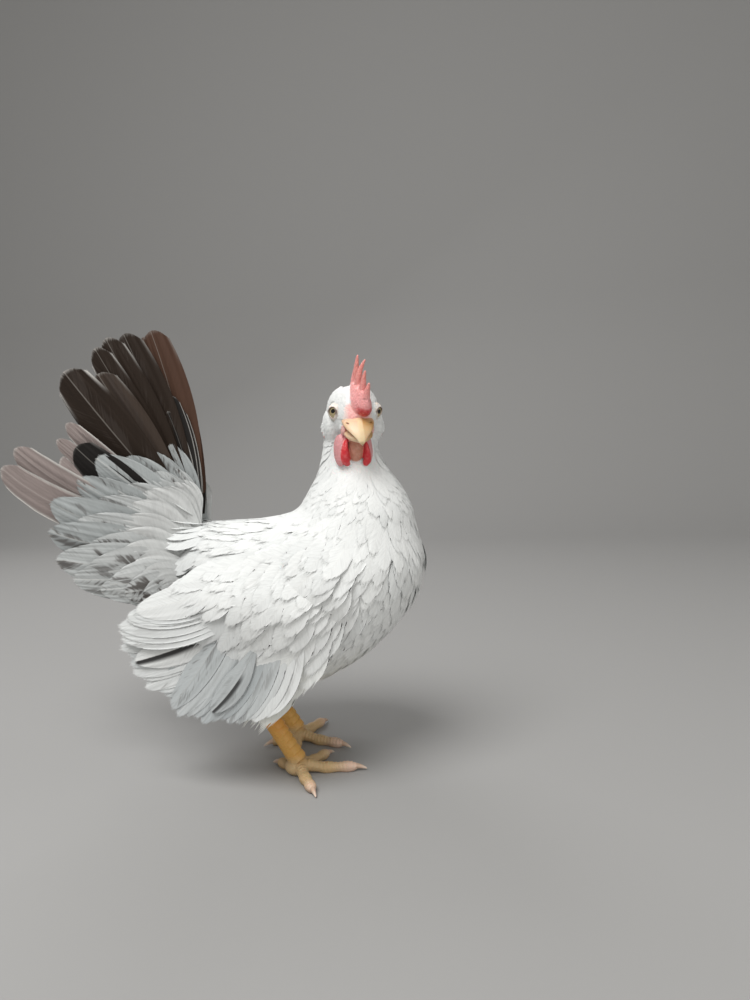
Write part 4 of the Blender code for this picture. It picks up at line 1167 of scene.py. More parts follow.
# The same in the head's frame
HEAD_LIE = (
    ((12, -7, 2), (-1, -0.35, 0.05)),
    ((10, -4, 10), (-0.8, -0.3, 0.5)),
    ((0, 0, 15), (-1, 0, 0)),
    ((3, -13, 6), (-1, -0.1, 0.1)),
    ((2, -13, -4), (-0.85, 0, -0.5)),
    ((-12, -10, 4), (-0.85, 0, -0.6)),
    ((-17, 0, 4), (-0.4, 0, -1)),
    ((8, 0, -12), (-0.5, 0, -0.9)),
    ((8, -7, -8), (-0.8, -0.2, -0.6)),
    ((-3, -13, -14), (-0.5, 0, -0.9)),
)


def mirrored(table):
    """Each row of a table of lies, and its mirror image where it is off the middle."""
    for place, way in table:
        for flip in ((1, 1, 1), (1, -1, 1))[:2 if place[1] else 1]:
            yield np.array(place) / 1000 * flip, np.array(way) * flip


def lie_guides():
    body, head = list(mirrored(BODY_LIE)), list(mirrored(HEAD_LIE))
    places = [place for place, _ in body] + [in_head(*place) for place, _ in head]
    ways = [way for _, way in body] + [way @ HEAD_AXES for _, way in head]
    return np.array(places), unit(np.array(ways))


LIE_PLACES, LIE_WAYS = lie_guides()


def lie_of(points):
    """The way the coat lies at each point: the guides' ways, the nearest ones counting most."""
    gaps = norms(points[:, None] - LIE_PLACES[None])
    weights = 1.0 / (gaps ** 2 + 0.003 ** 2) ** 2
    return unit(np.einsum("ij,jk->ik", weights / weights.sum(1, keepdims=True), LIE_WAYS))


def flattened(vectors, normals):
    """Unit vectors with their part along the normals taken out."""
    return unit(vectors - normals * np.einsum("ij,ij->i", vectors, normals)[:, None])


class Ground:
    """The surface that tufts root on."""

    def __init__(self, obj):
        self.tree = tree_of(obj)
        self.corners = points_of(obj.data)[triangles_of(obj.data)]
        edges = self.corners[:, 1:] - self.corners[:, :1]
        self.cross = np.cross(edges[:, 0], edges[:, 1])
        self.areas = norms(self.cross) / 2

    def scatter(self, table_at, keep_at, packing=3.0):
        """Places spread at the spacing of the coat's table, with their normals."""
        middles = self.corners.mean(axis=1)
        spacing = np.prod(table_at(middles)[:, [0, 2]], axis=1)
        wanted = self.areas / spacing ** 2 * packing * keep_at(middles)
        total = int(wanted.sum())
        picks = random.choice(len(wanted), total, p=wanted / wanted.sum())
        a, b = random.uniform(0, 1, (2, total))
        flip = a + b > 1
        a[flip], b[flip] = 1 - a[flip], 1 - b[flip]
        first, second, third = self.corners[picks].swapaxes(0, 1)
        points = first + (second - first) * a[:, None] + (third - first) * b[:, None]
        spacing = spacing[picks]
        tree = KDTree(total)
        for i, p in enumerate(points):
            tree.insert(p, i)
        tree.balance()
        gone = np.zeros(total, bool)
        kept = []
        for i in range(total):
            if not gone[i]:
                kept.append(i)
                gone[[j for _, j, _ in tree.find_range(points[i], spacing[i])]] = True
        return points[kept], unit(self.cross[picks[kept]])

    def paths(self, roots, normals, lengths, stiffness, stations=6):
        """Ways from each root along the lie of the coat; stiff ones leave the surface at a sharp bend."""
        count = len(roots)
        paths, ways = np.empty((2, count, stations, 3))
        paths[:, 0], ways[:, 0] = roots, normals
        places, surface = roots.copy(), normals.copy()
        before = None
        for k in range(1, stations):
            flow = flattened(lie_of(places), surface)
            if before is not None:
                flow = unit(flow * (1 - stiffness) + before * stiffness)
            ahead = places + flow * (lengths / (stations - 1))[:, None]
            for i in range(count):
                near, normal, _, _ = self.tree.find_nearest(ahead[i])
                away = ahead[i] - np.array(near)
                if away @ np.array(normal) < 0:
                    away = away * 0
                places[i] = np.array(near) + away * stiffness[i]
                surface[i] = normal
            before = unit(places - paths[:, k - 1])
            surface = unit(surface * (1 - stiffness) + ways[:, k - 1] * stiffness)
            surface = flattened(surface, before)
            paths[:, k], ways[:, k] = places, surface
        for _ in range(2):
            paths[:, 1:-1] = paths[:, 1:-1] * 0.5 + (paths[:, :-2] + paths[:, 2:]) * 0.25
            ways[:, 1:-1] = unit(ways[:, 1:-1] * 0.5 + (ways[:, :-2] + ways[:, 2:]) * 0.25)
        return paths, ways


# Coat of each region: length, half width over length, spacing over length, lift of the tips
COAT_BODY = (0.035, 0.19, 0.175, 0.0022)
COAT_BREAST = (0.029, 0.185, 0.155, 0.0018)
COAT_BACK = (0.032, 0.175, 0.15, 0.0014)
COAT_SADDLE = (0.034, 0.18, 0.135, 0.0075)
COAT_NECK = (0.018, 0.16, 0.12, 0.001)
COAT_HEAD = (0.0052, 0.24, 0.22, 0.0011)
COAT_FACE = (0.0034, 0.24, 0.23, 0.0007)
COAT_THIGH = (0.019, 0.21, 0.16, 0.0026)
# Where the coat ends: over the feet, and round the eyes, lids, earlobes and wattles
COAT_BOTTOM = 0.0415
EYE_CLEARING, LID_CLEARING, LOBE_CLEARING = 0.0051, 0.0058, 0.0044
FOLD_CLEARING = (0.0085, 0.0085, 0.0125)
# How far small feathers turn outward over the wing
OVER_WING_TURN = 1.6


def coat_table(points):
    """The coat's four numbers at each point."""
    x, _, z = points.T
    head = norms(points - HEAD_CENTRE)
    u = head_coordinates(points)[:, 0]
    table = np.tile(COAT_BODY, (len(points), 1))
    regions = (
        (ramp(z, 0.105, 0.13) * ramp(x, 0.03, 0.0), COAT_BACK),
        (ramp(x, -0.036, -0.052) * ramp(z, 0.116, 0.134), COAT_SADDLE),
        (ramp(x, 0.03, 0.06) * ramp(z, 0.07, 0.1), COAT_BREAST),
        (ramp(z, 0.138, 0.168) * ramp(x, -0.004, 0.01), COAT_NECK),
        (ramp(z, 0.186, 0.2) * ramp(head, 0.034, 0.02), COAT_HEAD),
        (ramp(head, 0.028, 0.02), COAT_HEAD),
        (ramp(head, 0.024, 0.02) * ramp(u, -0.002, 0.007), COAT_FACE),
        (ramp(z, 0.064, 0.048), COAT_THIGH),
    )
    for share, row in regions:
        table += share[:, None] * (np.array(row) - table)
    return table


def coat_keep(points):
    """True where feathers root and False on bare skin."""
    x, y, z = points.T
    u, v, w = head_coordinates(points).T
    across = np.abs(v - WATTLE_SHIFT)
    near = norms(points - HEAD_CENTRE) < 0.045
    face_edge = 0.0098 + 0.0036 * ramp(np.abs(v), 0.0064, 0.0084)
    bare = near & (u > face_edge) & (w > -0.01) & (w < 0.0085)
    bare |= near & (u > 0.0142) & (w > -0.0255) & (across < 0.0125)
    bare |= near & (np.abs(v - 0.0008) < 0.0066) & (w > 0.006) & (u > -0.014)
    bare |= near & (w > 0.0158)
    bare |= near & (across < 0.0092) & (w < -0.007) & (w > -0.0235) & (u > 0.007)
    bare |= z <= COAT_BOTTOM
    bare |= (x < -0.06) & (z > 0.126)
    bare |= (x < -0.016) & (z < 0.052)
    for side in SIDES:
        eye, look = eye_centre(side), lid_look(side)
        lobe = in_head(EARLOBE_PLACE[0], side * 0.015, EARLOBE_PLACE[1])
        edges = ((eye, EYE_CLEARING), (eye + look * EYE_RADIUS, LID_CLEARING), (lobe, LOBE_CLEARING))
        for place, radius in edges:
            bare |= norms(points - place) <= radius
        bare |= norms((points - fold_place(side)) / FOLD_CLEARING) <= 1.0
        bare |= (y * side > 0.043) & (x < 0.024) & (z < 0.128) & (z > 0.07)
    return ~bare


def chart(points):
    """Where a root lies on an unwrap of the skin, torso opened along its belly and neck along its back."""
    x, y, z = points.T
    upper = z > 0.158
    middle = np.where(upper, 0.0, 0.1)
    turn = np.where(upper, np.arctan2(y, 0.04 - x), np.arctan2(y, z - middle)) / (2 * math.pi) + 0.5
    along = np.where(upper, 0.62 + (z - 0.158) / 0.075 * 0.34, 0.04 + (x + 0.09) / 0.185 * 0.54)
    return np.clip(np.stack((0.02 + 0.96 * turn, along), axis=1), 0.004, 0.996)


def tuft_tones(points, white_share):
    """Colours of small feathers: white with a random cool grey breath; painted shade greys them low on the
    body, towards the rear and low on the wing, and painted warm bounce light tints the low flank towards the
    front.
    """
    x, _, z = points.T
    # Painted shade: greyer low on the body and towards the rear.
    under, rear = ramp(z, 0.095, 0.055) * 0.1, ramp(x, 0.0, -0.05) * 0.18
    # Painted shade on the low rear of the wing's coverts.
    low_wing_shade = ramp(z, 0.116, 0.086) * ramp(x, 0.016, -0.02) * (white_share > 0)
    breath = random.uniform(0.0, 1.0, len(points)) ** 2 * 0.16
    grey = np.clip(breath + under + rear, 0, 1) * (1 - white_share) + low_wing_shade
    tones = mixed(WHITE, GREY_AND_SHADE_WHITE, np.minimum(grey, 1.0)[:, None])
    # Painted warm light bounced onto the low flank towards the front.
    warm_bounce_light = (ramp(z, 0.1, 0.055) * ramp(x, -0.03, 0.01))[:, None]
    return tones * (1 - warm_bounce_light * (0.06, 0.08, 0.16))


def lay_tufts(batch, ground, points, normals, table, cells, rows, white_share=0.0):
    """Small feathers from their roots along the coat's lie, turned outward where they pass over the wing."""
    lengths = table[:, 0] * random.uniform(0.88, 1.12, len(points))
    half_widths = lengths * table[:, 1]
    lifts = table[:, 3] * random.uniform(0.85, 1.15, len(points))
    x, _, z = points.T
    stiffness = 0.1 + 0.5 * ramp(lengths, 0.008, 0.022) * ramp(z, 0.172, 0.14)
    stiffness = np.maximum(stiffness, 0.98 * ramp(x, -0.024, -0.044) * ramp(z, 0.098, 0.112))[:, None]
    paths, ways = ground.paths(points, normals, lengths, stiffness)
    path_x, path_y, path_z = np.moveaxis(paths, -1, 0)
    over_wing = ramp(np.abs(path_y), 0.036, 0.044) * ramp(path_z, 0.152, 0.138)
    ways[..., 1] += np.sign(path_y) * OVER_WING_TURN * over_wing * ramp(path_x, -0.02, 0.0)
    tones, marks = tuft_tones(points, white_share), np.zeros((len(points), 3))
    add_tufts(batch, paths, unit(ways), lengths, half_widths, lifts, tones, marks, chart(points), cells, rows)


def build_coat(ground, material):
    """The small feathers of the head, neck, body and thighs."""
    points, normals = ground.scatter(coat_table, coat_keep)
    table = coat_table(points)
    x, y, z = points.T
    face = (z > 0.172) & (table[:, 0] < 0.0075)
    neck = (z > 0.146) & (table[:, 0] < 0.02) & ~face
    low = (z < 0.062) & ~face & ~neck
    rest = ~(face | neck | low)
    groups = (
        ("coat_head", face, 7, 4),
        ("coat_neck_right", neck & (y < 0), 11, 6),
        ("coat_neck_left", neck & (y >= 0), 11, 6),
        ("coat_breast", rest & (x > 0.045), 15, 6),
        ("coat_right", rest & (x <= 0.045) & (y < 0), 19, 7),
        ("coat_left", rest & (x <= 0.045) & (y >= 0), 19, 7),
        ("coat_under", low, 11, 6),
    )
    for name, chosen, cells, rows in groups:
        batch = Batch()
        lay_tufts(batch, ground, points[chosen], normals[chosen], table[chosen], cells, rows)
        batch.piece(name, material, "feather")


# Flight and tail feathers: stations along each, and how many share a side of the OFBake map
VANE_STATIONS = 9
CELLS_A_SIDE = 9


class Vanes:
    """Large feathers laid in a sheet beside the bird: each from a root to a tip in the side plane."""

    def __init__(self, side):
        self.side, self.feathers = side, []

    def add(self, root, tip, half_width, sheet, slopes, bend, tone, marks):
        root, tip = np.array(root), np.array(tip)
        along = tip - root
        normal = unit(np.array((-along[1], along[0])))
        path, ways = [], []
        for s in np.linspace(0, 1, VANE_STATIONS):
            x, z = root + along * s + normal * (bend * 4 * s * (1 - s))
            tangent = unit(along + normal * (bend * 4 * (1 - 2 * s)))
            cross = np.array((-tangent[1], 0.0, tangent[0]))
            slope = slopes[0] + (slopes[1] - slopes[0]) * s
            path.append((x, self.side * sheet(x, z), z))
            ways.append(unit(np.array((0.0, self.side, 0.0)) - slope * cross))
        self.feathers.append((path, ways, np.linalg.norm(along), half_width, 0.0, tone, marks))

    def lay(self, batch, cells, rows, first_cell, **options):
        numbers = np.arange(len(self.feathers)) + first_cell
        bakes = (np.stack((numbers % CELLS_A_SIDE, numbers // CELLS_A_SIDE), axis=1) + 0.5) / CELLS_A_SIDE
        add_tufts(batch, *map(np.array, zip(*self.feathers)), bakes, cells, rows, tip_at=0.97,
                  patch=0.86 / CELLS_A_SIDE, twisting=0.0, **options)
        return first_cell + len(self.feathers)


def along_route(points, share):
    """The place at a share of the length of a route."""
    points = np.array(points, float)
    reach = np.concatenate(([0], np.cumsum(norms(np.diff(points, axis=0)))))
    return np.array([np.interp(share * reach[-1], reach, points[:, k]) for k in (0, 1)])


def route_length(points):
    return norms(np.diff(np.array(points, float), axis=0)).sum()


def wing_sink(x, z):
    """How far the wing's upper and front edges lie back into the body."""
    front, upper = ramp(x, 0.014, 0.044), ramp(z, 0.106, 0.136)
    return 0.012 * (1 - (1 - front) * (1 - upper))


def wing_sheet(level):
    def height(x, z):
        return WING_SHEET_Y + WING_SHEET_TAPER * min(x, 0.0) + WING_TIER_STEP * level - float(wing_sink(x, z))
    return height


# Each tier of the wing: count, route of roots, route of tips, half width, level
WING_TIERS = (
    (9, ((-0.002, 0.088), (-0.01, 0.106)),
     ((-0.06, 0.048), (-0.072, 0.0555), (-0.0818, 0.069), (-0.0858, 0.0785)), 0.0076, 0.0),
    (12, ((0.019, 0.09), (-0.012, 0.106)),
     ((-0.004, 0.044), (-0.019, 0.0405), (-0.04, 0.0401), (-0.058, 0.0445)), 0.0076, 1.6),
    (7, ((-0.008, 0.103), (-0.01, 0.115)),
     ((-0.084, 0.085), (-0.086, 0.089), (-0.0825, 0.0955), (-0.074, 0.1)), 0.0085, 2.2),
)
# How strong the dark stripe is, by tier and number
STRIPED = {(1, 3): 0.3}
# Striped feathers laid over the tiers: root, tip, half width, level, stripe, grey; the lower one's grey is
# painted shade
WING_MARKED = (
    ((-0.014, 0.0965), (-0.078, 0.0712), 0.0094, 1.3, 0.97, 0.05),
    ((-0.006, 0.08), (-0.0325, 0.0462), 0.0066, 3.0, 0.9, 0.75),
)
# The shape of the wing's large feathers
WING_VANE = {"pointed": 0.17, "dome": 0.07, "loose": 0.012, "shaft": 0.0003, "fringe": 1.05,
             "reach": 0.975}
# Where the coverts root on the wing: a ring of points in the side plane
COVERT_FIELD = metres((
    (420, 1000), (380, 1180), (180, 1315), (-80, 1315), (-270, 1235), (-420, 1110),
    (-370, 1000), (-240, 910), (-160, 800), (0, 720), (180, 740), (340, 860),
))
WING_BULGE = (0.004, 0.104, 0.04, 0.024, 0.0076)


def wing_cover(x, z):
    """How far out the ground of the wing's coverts lies, as numbers or arrays."""
    middle_x, middle_z, reach_x, reach_z, height = WING_BULGE
    bulge = height * np.exp(-(((x - middle_x) / reach_x) ** 2 + ((z - middle_z) / reach_z) ** 2))
    return WING_SHEET_Y + WING_SHEET_TAPER * np.minimum(x, 0.0) - 0.0004 + bulge - wing_sink(x, z)


def wing_ground(side):
    """A plain shell over the wing that its coverts root on."""
    columns, rows = np.linspace(-0.115, 0.055, 60), np.linspace(0.02, 0.145, 46)
    grid_x, grid_z = np.meshgrid(columns, rows)
    points = np.stack((grid_x, side * wing_cover(grid_x, grid_z), grid_z), axis=-1).reshape(-1, 3)
    width = len(columns)
    faces = []
    for low in range(0, (len(rows) - 1) * width, width):
        for a in range(low, low + width - 1):
            faces.append((a, a + 1, a + width + 1, a + width)[::-side])
    mesh = bpy.data.meshes.new("wing_ground")
    mesh.from_pydata([tuple(p) for p in points], [], faces)
    return new_object("wing_ground", mesh)


def inside_field(points):
    """Whether each point lies inside the ring of the covert field, in the side plane."""
    x, _, z = points.T
    inside = np.zeros(len(points), bool)
    for (x1, z1), (x2, z2) in zip(COVERT_FIELD, np.roll(COVERT_FIELD, -1, axis=0)):
        crosses = (z1 > z) != (z2 > z)
        inside ^= crosses & (x < (x2 - x1) * (z - z1) / (z2 - z1 + 1e-12) + x1)
    return inside


def covert_table(points):
    """Length, half width over length, spacing over length and lift of the wing's coverts."""
    back = ramp((0.036 - points[:, 0]) * 0.64 + (0.125 - points[:, 2]) * 0.77, 0.0, 0.065)
    front_row, change = (0.026, 0.19, 0.16, 0.0016), (0.018, -0.02, 0.0, -0.0006)
    return front_row + back[:, None] * change


def build_wing(side, large, small):
    """The wing's tiers of large feathers, the striped ones over them, and its coverts."""
    batch = Batch()
    first_cell = 0
    for tier, (count, roots, tips, half_width, level) in enumerate(WING_TIERS):
        vanes = Vanes(side)
        root_gap, tip_gap = route_length(roots) / (count - 1), route_length(tips) / (count - 1)
        slopes = (0.0005 / root_gap, 0.00095 / tip_gap)
        for i in range(count):
            share = i / (count - 1)
            root, tip = along_route(roots, share), along_route(tips, share)
            tip = root + (tip - root) * (1 + random.uniform(-0.045, 0.03))
            # Grey with a random share, mostly painted shade: the lower a tier lies the greyer it is, and the
            # lowest greys towards the back.
            grey = (random.uniform(0.2, 0.7), random.uniform(0.55, 0.85) * ramp(share, 0.02, 0.38) + 0.08,
                    random.uniform(0.05, 0.3))[tier]
            mottle = random.uniform(0.1, 0.5) if random.uniform(0, 1) < 0.45 else 0.0
            vanes.add(root, tip, half_width * random.uniform(0.92, 1.1), wing_sheet(level), slopes,
                      random.uniform(0.0005, 0.0035), mixed(WHITE, GREY_AND_SHADE_WHITE, grey),
                      (0.0, mottle, STRIPED.get((tier, i), 0.0)))
        first_cell = vanes.lay(batch, 24, 20, first_cell, **WING_VANE)
    marked = Vanes(side)
    for root, tip, half_width, level, stripe, grey in WING_MARKED:
        marked.add(root, tip, half_width, wing_sheet(level), (0.0, 0.0), 0.002,
                   mixed(WHITE, GREY_AND_SHADE_WHITE, grey), (0.0, 0.25, stripe))
    marked.lay(batch, 24, 20, first_cell, **WING_VANE)
    piece = batch.piece("wing_feathers_" + SIDE_NAMES[side], large, "feather")
    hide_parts("wing_" + SIDE_NAMES[side])
    shell = wing_ground(side)
    ground = Ground(shell)
    remove_objects([shell])
    points, normals = ground.scatter(covert_table, inside_field)
    coverts = Batch()
    lay_tufts(coverts, ground, points, normals, covert_table(points), 19, 8, 0.4)
    coverts.piece("wing_coverts_" + SIDE_NAMES[side], small, "feather")


def tail_place(radius, angle):
    turn = math.radians(angle)
    return (TAIL_ROOT[0] - radius * math.sin(turn), TAIL_ROOT[1] + radius * math.cos(turn))


def tail_sheet(level, flare=0.0):
    def height(x, z):
        back, up = TAIL_ROOT[0] - x, z - TAIL_ROOT[1]
        radius = math.hypot(back, up)
        turn = (math.degrees(math.atan2(back, up)) - TAIL_START_ANGLE) / TAIL_SPLAY_ANGLE
        lift = min(max((radius - TAIL_ROOT_RADIUS) / 0.025, 0.0), 1.0) * level
        lift += flare * math.exp(-(radius / 0.028) ** 2)
        return TAIL_MIDLINE_Y + radius / TAIL_SPLAY_RADIUS * TAIL_SPLAY_Y * max(turn, 0.0) + lift
    return height


# Each large tail feather: angle, length, bend, half width, level, colour, pale rim, mottling
RECTRICES = (
    (11.6, 0.124, -0.003, 0.013, 0.0, TAIL_BROWN, 0.25, 0.0),
    (18.6, 0.1268, -0.002, 0.0128, 0.0, DARK_BROWN, 0.3, 0.6),
    (23.2, 0.1285, -0.001, 0.012, 0.0, DARK_BROWN, 0.85, 0.5),
    (27.0, 0.1265, -0.0005, 0.0105, -0.0004, DARK_BROWN, 0.85, 0.6),
    (29.8, 0.1125, 0.0, 0.013, 0.0004, (0.052, 0.036, 0.027), 0.45, 0.6),
    (37.0, 0.1248, 0.001, 0.0158, 0.0, DARK_BROWN, 0.95, 0.6),
    (47.5, 0.103, 0.002, 0.007, -0.0016, PALE_BROWN_GREY, 1.9, 0.5),
    (53.5, 0.1015, 0.003, 0.0068, -0.002, PALE_BROWN_GREY, 1.9, 0.6),
    (51.5, 0.089, 0.003, 0.0128, 0.001, BLACK, 0.15, 0.0),
    (61.7, 0.118, 0.008, 0.0102, 0.0, PALE_BROWN_GREY, 1.9, 0.25),
    (67.8, 0.12, 0.011, 0.0112, 0.0, PALE_BROWN_GREY, 1.9, 0.15),
)
# Narrow dark feathers with white edges along the front of the tail: angle, length, bend, half width
STREAMERS = (
    (9.0, 0.084, -0.003, 0.0044),
    (6.5, 0.076, -0.003, 0.004),
    (12.5, 0.076, -0.0025, 0.0048),
    (4.5, 0.062, -0.002, 0.0036),
)
# Each long covert: angle, length, bend, half width
LONG_COVERTS = (
    (16.0, 0.056, -0.001, 0.008),
    (28.0, 0.059, -0.0005, 0.01),
    (39.5, 0.065, 0.0, 0.012),
    (50.5, 0.0725, 0.0, 0.014),
    (62.5, 0.079, 0.002, 0.0135),
    (74.0, 0.089, 0.004, 0.0145),
    (84.5, 0.085, 0.004, 0.0135),
    (95.0, 0.08, 0.004, 0.0135),
    (105.5, 0.071, 0.003, 0.012),
    (116.5, 0.06, 0.002, 0.01),
    (127.5, 0.051, 0.001, 0.0092),
    (137.0, 0.043, 0.001, 0.0085),
)
# Where the coverts root along the rump, from top to bottom in the side plane
COVERT_ROOTS = metres(((-540, 1440), (-530, 1380), (-530, 1240), (-540, 1080)))
# Tiers over them: share of the long ones' length, width share, level, flare, paleness, mottling
COVERT_TIERS = (
    (1.0, 1.05, 0.0026, 0.0, 0.3, (0.4, 0.9)),
    (0.76, 1.05, 0.004, 0.002, 0.6, (0.4, 0.95)),
    (0.56, 1.1, 0.005, 0.004, 0.95, (0.0, 0.35)),
)
# The shape of the tail's large feathers and of its coverts
TAIL_VANE = {"pointed": 0.075, "dome": 0.05, "loose": 0.0015, "shaft": 0.00012, "fringe": 1.015,
             "reach": 0.996}
TAIL_COVERT = {"pointed": 0.17, "dome": 0.05, "loose": 0.008, "shaft": 0.0001, "fringe": 1.03,
               "reach": 0.985}
COVERT_GREY = (0.27, 0.3, 0.305)


def tail_slopes(amount, step, length):
    """How steeply neighbours a step of degrees apart overlap, at the root and at the tip."""
    return tuple(-amount / (radius * math.radians(step)) for radius in (0.024, length))


def build_tail(side, stiff_material, soft_material):
    """The large tail feathers and streamers, and three tiers of coverts over them."""
    far = TAIL_FAR_TURN[side]
    large = [(*row, 0.0009, 6.5) for row in RECTRICES]
    large += [(*row, 0.0022, BLACK, 1.55, 0.0, 0.0006, 6.0) for row in STREAMERS]
    stiff, soft = Vanes(side), Vanes(side)
    for angle, length, bend, half_width, level, tone, rim, mottle, amount, step in large:
        stiff.add(tail_place(TAIL_ROOT_RADIUS, angle + far), tail_place(length, angle + far), half_width,
                  tail_sheet(level), tail_slopes(amount, step, length), bend, tone, (rim, mottle, 0.0))
    batch, coverts = Batch(), Batch()
    stiff.lay(batch, 26, 30, 0, **TAIL_VANE)
    for tier, (share, width_share, level, flare, pale, mottles) in enumerate(COVERT_TIERS):
        for number, (angle, length, bend, half_width) in enumerate(LONG_COVERTS):
            turn = angle + far + (5.5 * (tier % 2)) + random.uniform(-1.0, 1.0)
            lit = pale + (0.9 - pale) * 0.5 * float(ramp(angle, 80.0, 100.0))
            tone = mixed(COVERT_GREY, np.array(WHITE) * 0.85, lit) * random.uniform(0.9, 1.06)
            marks = (0.5 * (1 - pale), random.uniform(*mottles), 0.0)
            root = along_route(COVERT_ROOTS, (angle - 16.0) / 121.0)
            tip = root + (np.array(tail_place(length, turn)) - root) * share * random.uniform(0.95, 1.05)
            sheet = tail_sheet(level + 0.0004 * (number % 2), flare)
            soft.add(root, tip, half_width * width_share, sheet, tail_slopes(0.0006, 9.0, length),
                     bend * share, tone, marks)
    soft.lay(coverts, 30, 20, 0, **TAIL_COVERT)
    piece = batch.piece("tail_feathers_" + SIDE_NAMES[side], stiff_material, "tail_feather")
    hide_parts("tail_" + SIDE_NAMES[side])
    coverts.piece("tail_coverts_" + SIDE_NAMES[side], soft_material, "tail_feather")


# Eyes, beak and claws


def build_eye(side):
    centre = eye_centre(side)
    eye = ball("eyeball_" + SIDE_NAMES[side], centre, [EYE_RADIUS] * 3, HEAD_AXES.T, 64, 48)
    look = look_from(side, EYE_TURN, EYE_LIFT[side])
    from_look = np.arccos(np.clip(unit(points_of(eye.data) - centre) @ look, -1, 1))
    paint(eye.data, "iris", from_look[:, None])
    place_piece(eye, eye_material(side))
    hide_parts("eye_" + SIDE_NAMES[side])


def build_beak(material):
    """Both halves of the beak: darker on the left side with painted shade, pale along the ridge and at the
    tip.
    """
    upper = head_loft("beak_upper_horn", BEAK_UPPER_SECTIONS, BEAK_UPPER_ENDS, 0.0, 64, 1.75, 10)
    u, v, w = NOSTRIL_PLACE
    nostrils = [ball("nostril", in_head(u, side * v, w), NOSTRIL_SIZE, HEAD_AXES.T) for side in SIDES]
    boolean(upper, nostrils, "DIFFERENCE")
    lower = head_loft("beak_lower_horn", BEAK_LOWER_SECTIONS, BEAK_LOWER_ENDS, 0.0, 48, 2.2, 10)
    for obj, node in ((upper, "beak_upper"), (lower, "beak_lower")):
        u, v, _ = head_coordinates(points_of(obj.data)).T[:, :, None]
        ridge = ramp(np.abs(v), 0.0018, 0.0007) * (node == "beak_upper")
        # Painted shade: the left half of the beak is darker, and its pale tip only half as pale there.
        left = ramp(v, 0.0004, 0.0018)
        horn = mixed(BEAK_COLOUR, BEAK_SHADED_SIDE_COLOUR, left)
        horn = horn + ramp(u, 0.018, 0.027) * (np.array(BEAK_TIP_COLOUR) - horn) * (1 - 0.5 * left)
        horn = horn + ridge * (np.array(BEAK_RIDGE_COLOUR) - horn)
        horn = horn + ramp(u, 0.0165, 0.0135) * 0.6 * (np.array(BEAK_ROOT_COLOUR) - horn)
        paint(obj.data, "tone", horn)
        place_piece(obj, material)
        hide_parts(node)


def build_claws(material):
    for side in SIDES:
        for name in TOES[side]:
            forward, length = toe_axis(side, name)
            share = np.linspace(0, 1, 24)
            start = foot_joint(side) + forward * (length - CLAW_LENGTH)
            path = start + np.outer(CLAW_LENGTH * share, forward)
            path[:, 2] = 0.0028 - 0.0018 * share ** 2
            radii = CLAW_RADIUS * (1 - share) ** 0.7 + 0.00025
            claw = limb("claw_horn_" + SIDE_NAMES[side] + "_" + name, path, radii, 24)
            tones = mixed(CLAW_COLOUR, CLAW_TIP_COLOUR, ramp(share.repeat(24), 0.3, 1.0)[:, None])
            paint(claw.data, "tone", np.vstack((tones, tones[:1], tones[-1:])))
            place_piece(claw, material)
            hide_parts("claw_" + SIDE_NAMES[side] + "_" + name)


# Stage


def build_stage():
    """A floor that curves up into a backdrop, under an even sky."""
    curve = [(FLOOR_BACK + BACKDROP_RADIUS * math.sin(a), BACKDROP_RADIUS - BACKDROP_RADIUS * math.cos(a))
             for a in np.linspace(0.2, math.pi / 2, 8)]
    rows = [(FLOOR_FRONT, 0.0), (FLOOR_BACK, 0.0), *curve, (FLOOR_BACK + BACKDROP_RADIUS, BACKDROP_TOP)]
    points = [(x, y, z) for y, z in rows for x in (-FLOOR_HALF_WIDTH, FLOOR_HALF_WIDTH)]
    faces = [(2 * i, 2 * i + 1, 2 * i + 3, 2 * i + 2) for i in range(len(rows) - 1)]
    mesh = bpy.data.meshes.new("floor")
    mesh.from_pydata(points, [], faces)
    mesh.shade_smooth()
    floor = new_object("floor", mesh)
    shade = Shade("pale_floor")
    shade.set(Base_Color=FLOOR_COLOUR, Roughness=0.7)
    mesh.materials.append(shade.material)
    world = bpy.data.worlds.new("studio")
    world.use_nodes = True
    sky = world.node_tree.nodes["Background"].inputs
    sky[0].default_value = (*SKY_COLOUR, 1.0)
    sky[1].default_value = SKY_STRENGTH
    scene = bpy.context.scene
    scene.world = world
    scene.view_settings.view_transform = "Standard"


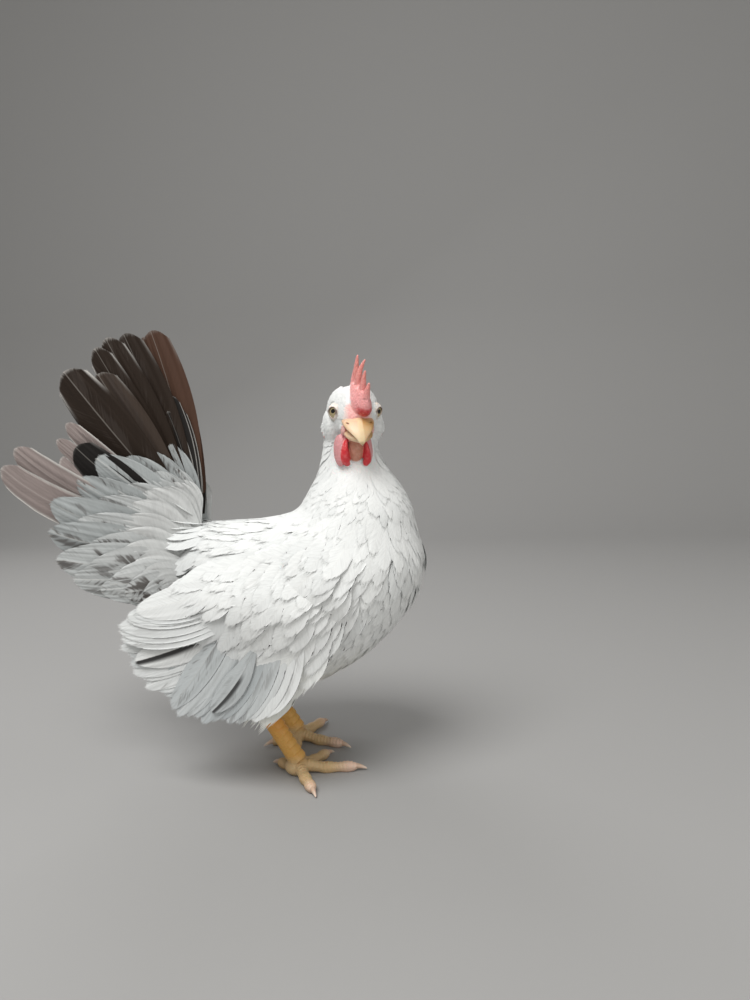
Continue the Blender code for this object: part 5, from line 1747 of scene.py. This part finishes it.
def build_lights():
    middle = Vector(SHIFT + np.array((0.0, 0.0, 0.12)))
    for name, place, size, power, colour in LIGHTS:
        data = bpy.data.lights.new(name, "AREA")
        data.shape = "DISK"
        data.size = size
        data.energy = power
        data.color = colour
        turn = (middle - Vector(place)).to_track_quat("-Z", "Y").to_matrix().to_4x4()
        new_object(name, data).matrix_world = Matrix.Translation(Vector(place)) @ turn


def build_camera():
    right = np.array((math.cos(CAMERA_YAW), math.sin(CAMERA_YAW), 0.0))
    level = np.array((-math.sin(CAMERA_YAW), math.cos(CAMERA_YAW), 0.0))
    forward = level * math.cos(CAMERA_PITCH) - np.array((0.0, 0.0, 1.0)) * math.sin(CAMERA_PITCH)
    up = np.cross(right, forward)
    across = right * math.cos(CAMERA_ROLL) - up * math.sin(CAMERA_ROLL)
    upright = right * math.sin(CAMERA_ROLL) + up * math.cos(CAMERA_ROLL)
    data = bpy.data.cameras.new("camera")
    data.sensor_width = SENSOR
    data.lens = CAMERA_LENS
    camera = new_object("camera", data)
    turn = Matrix((Vector(across), Vector(upright), Vector(-forward))).transposed()
    camera.matrix_world = Matrix.Translation(Vector(CAMERA_PLACE + SHIFT)) @ turn.to_4x4()
    bpy.context.scene.camera = camera


def main():
    build_stage()
    build_lights()
    build_camera()
    skin, ground_object = build_skin()
    ground = Ground(ground_object)
    remove_objects([ground_object])
    place_piece(skin, skin_material())
    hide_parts("torso", "neck", "head", "comb", "wattle_right", "wattle_left", "earlobe_right",
                "earlobe_left", "thigh_right", "thigh_left", "leg_right", "leg_left")
    small = feather_material("small_feather", 26.0, 0.25)
    large = feather_material("large_feather", 70.0, 0.035)
    soft = feather_material("soft_feather", 26.0, 0.16)
    build_coat(ground, small)
    for side in SIDES:
        build_wing(side, large, small)
        build_tail(side, large, soft)
        build_eye(side)
    build_beak(horn_material("beak_horn", (0.6, 0.36, 0.14), (0.8, 0.62, 0.36)))
    build_claws(horn_material("claw_horn", (0.45, 0.32, 0.24), (0.72, 0.6, 0.5)))


main()
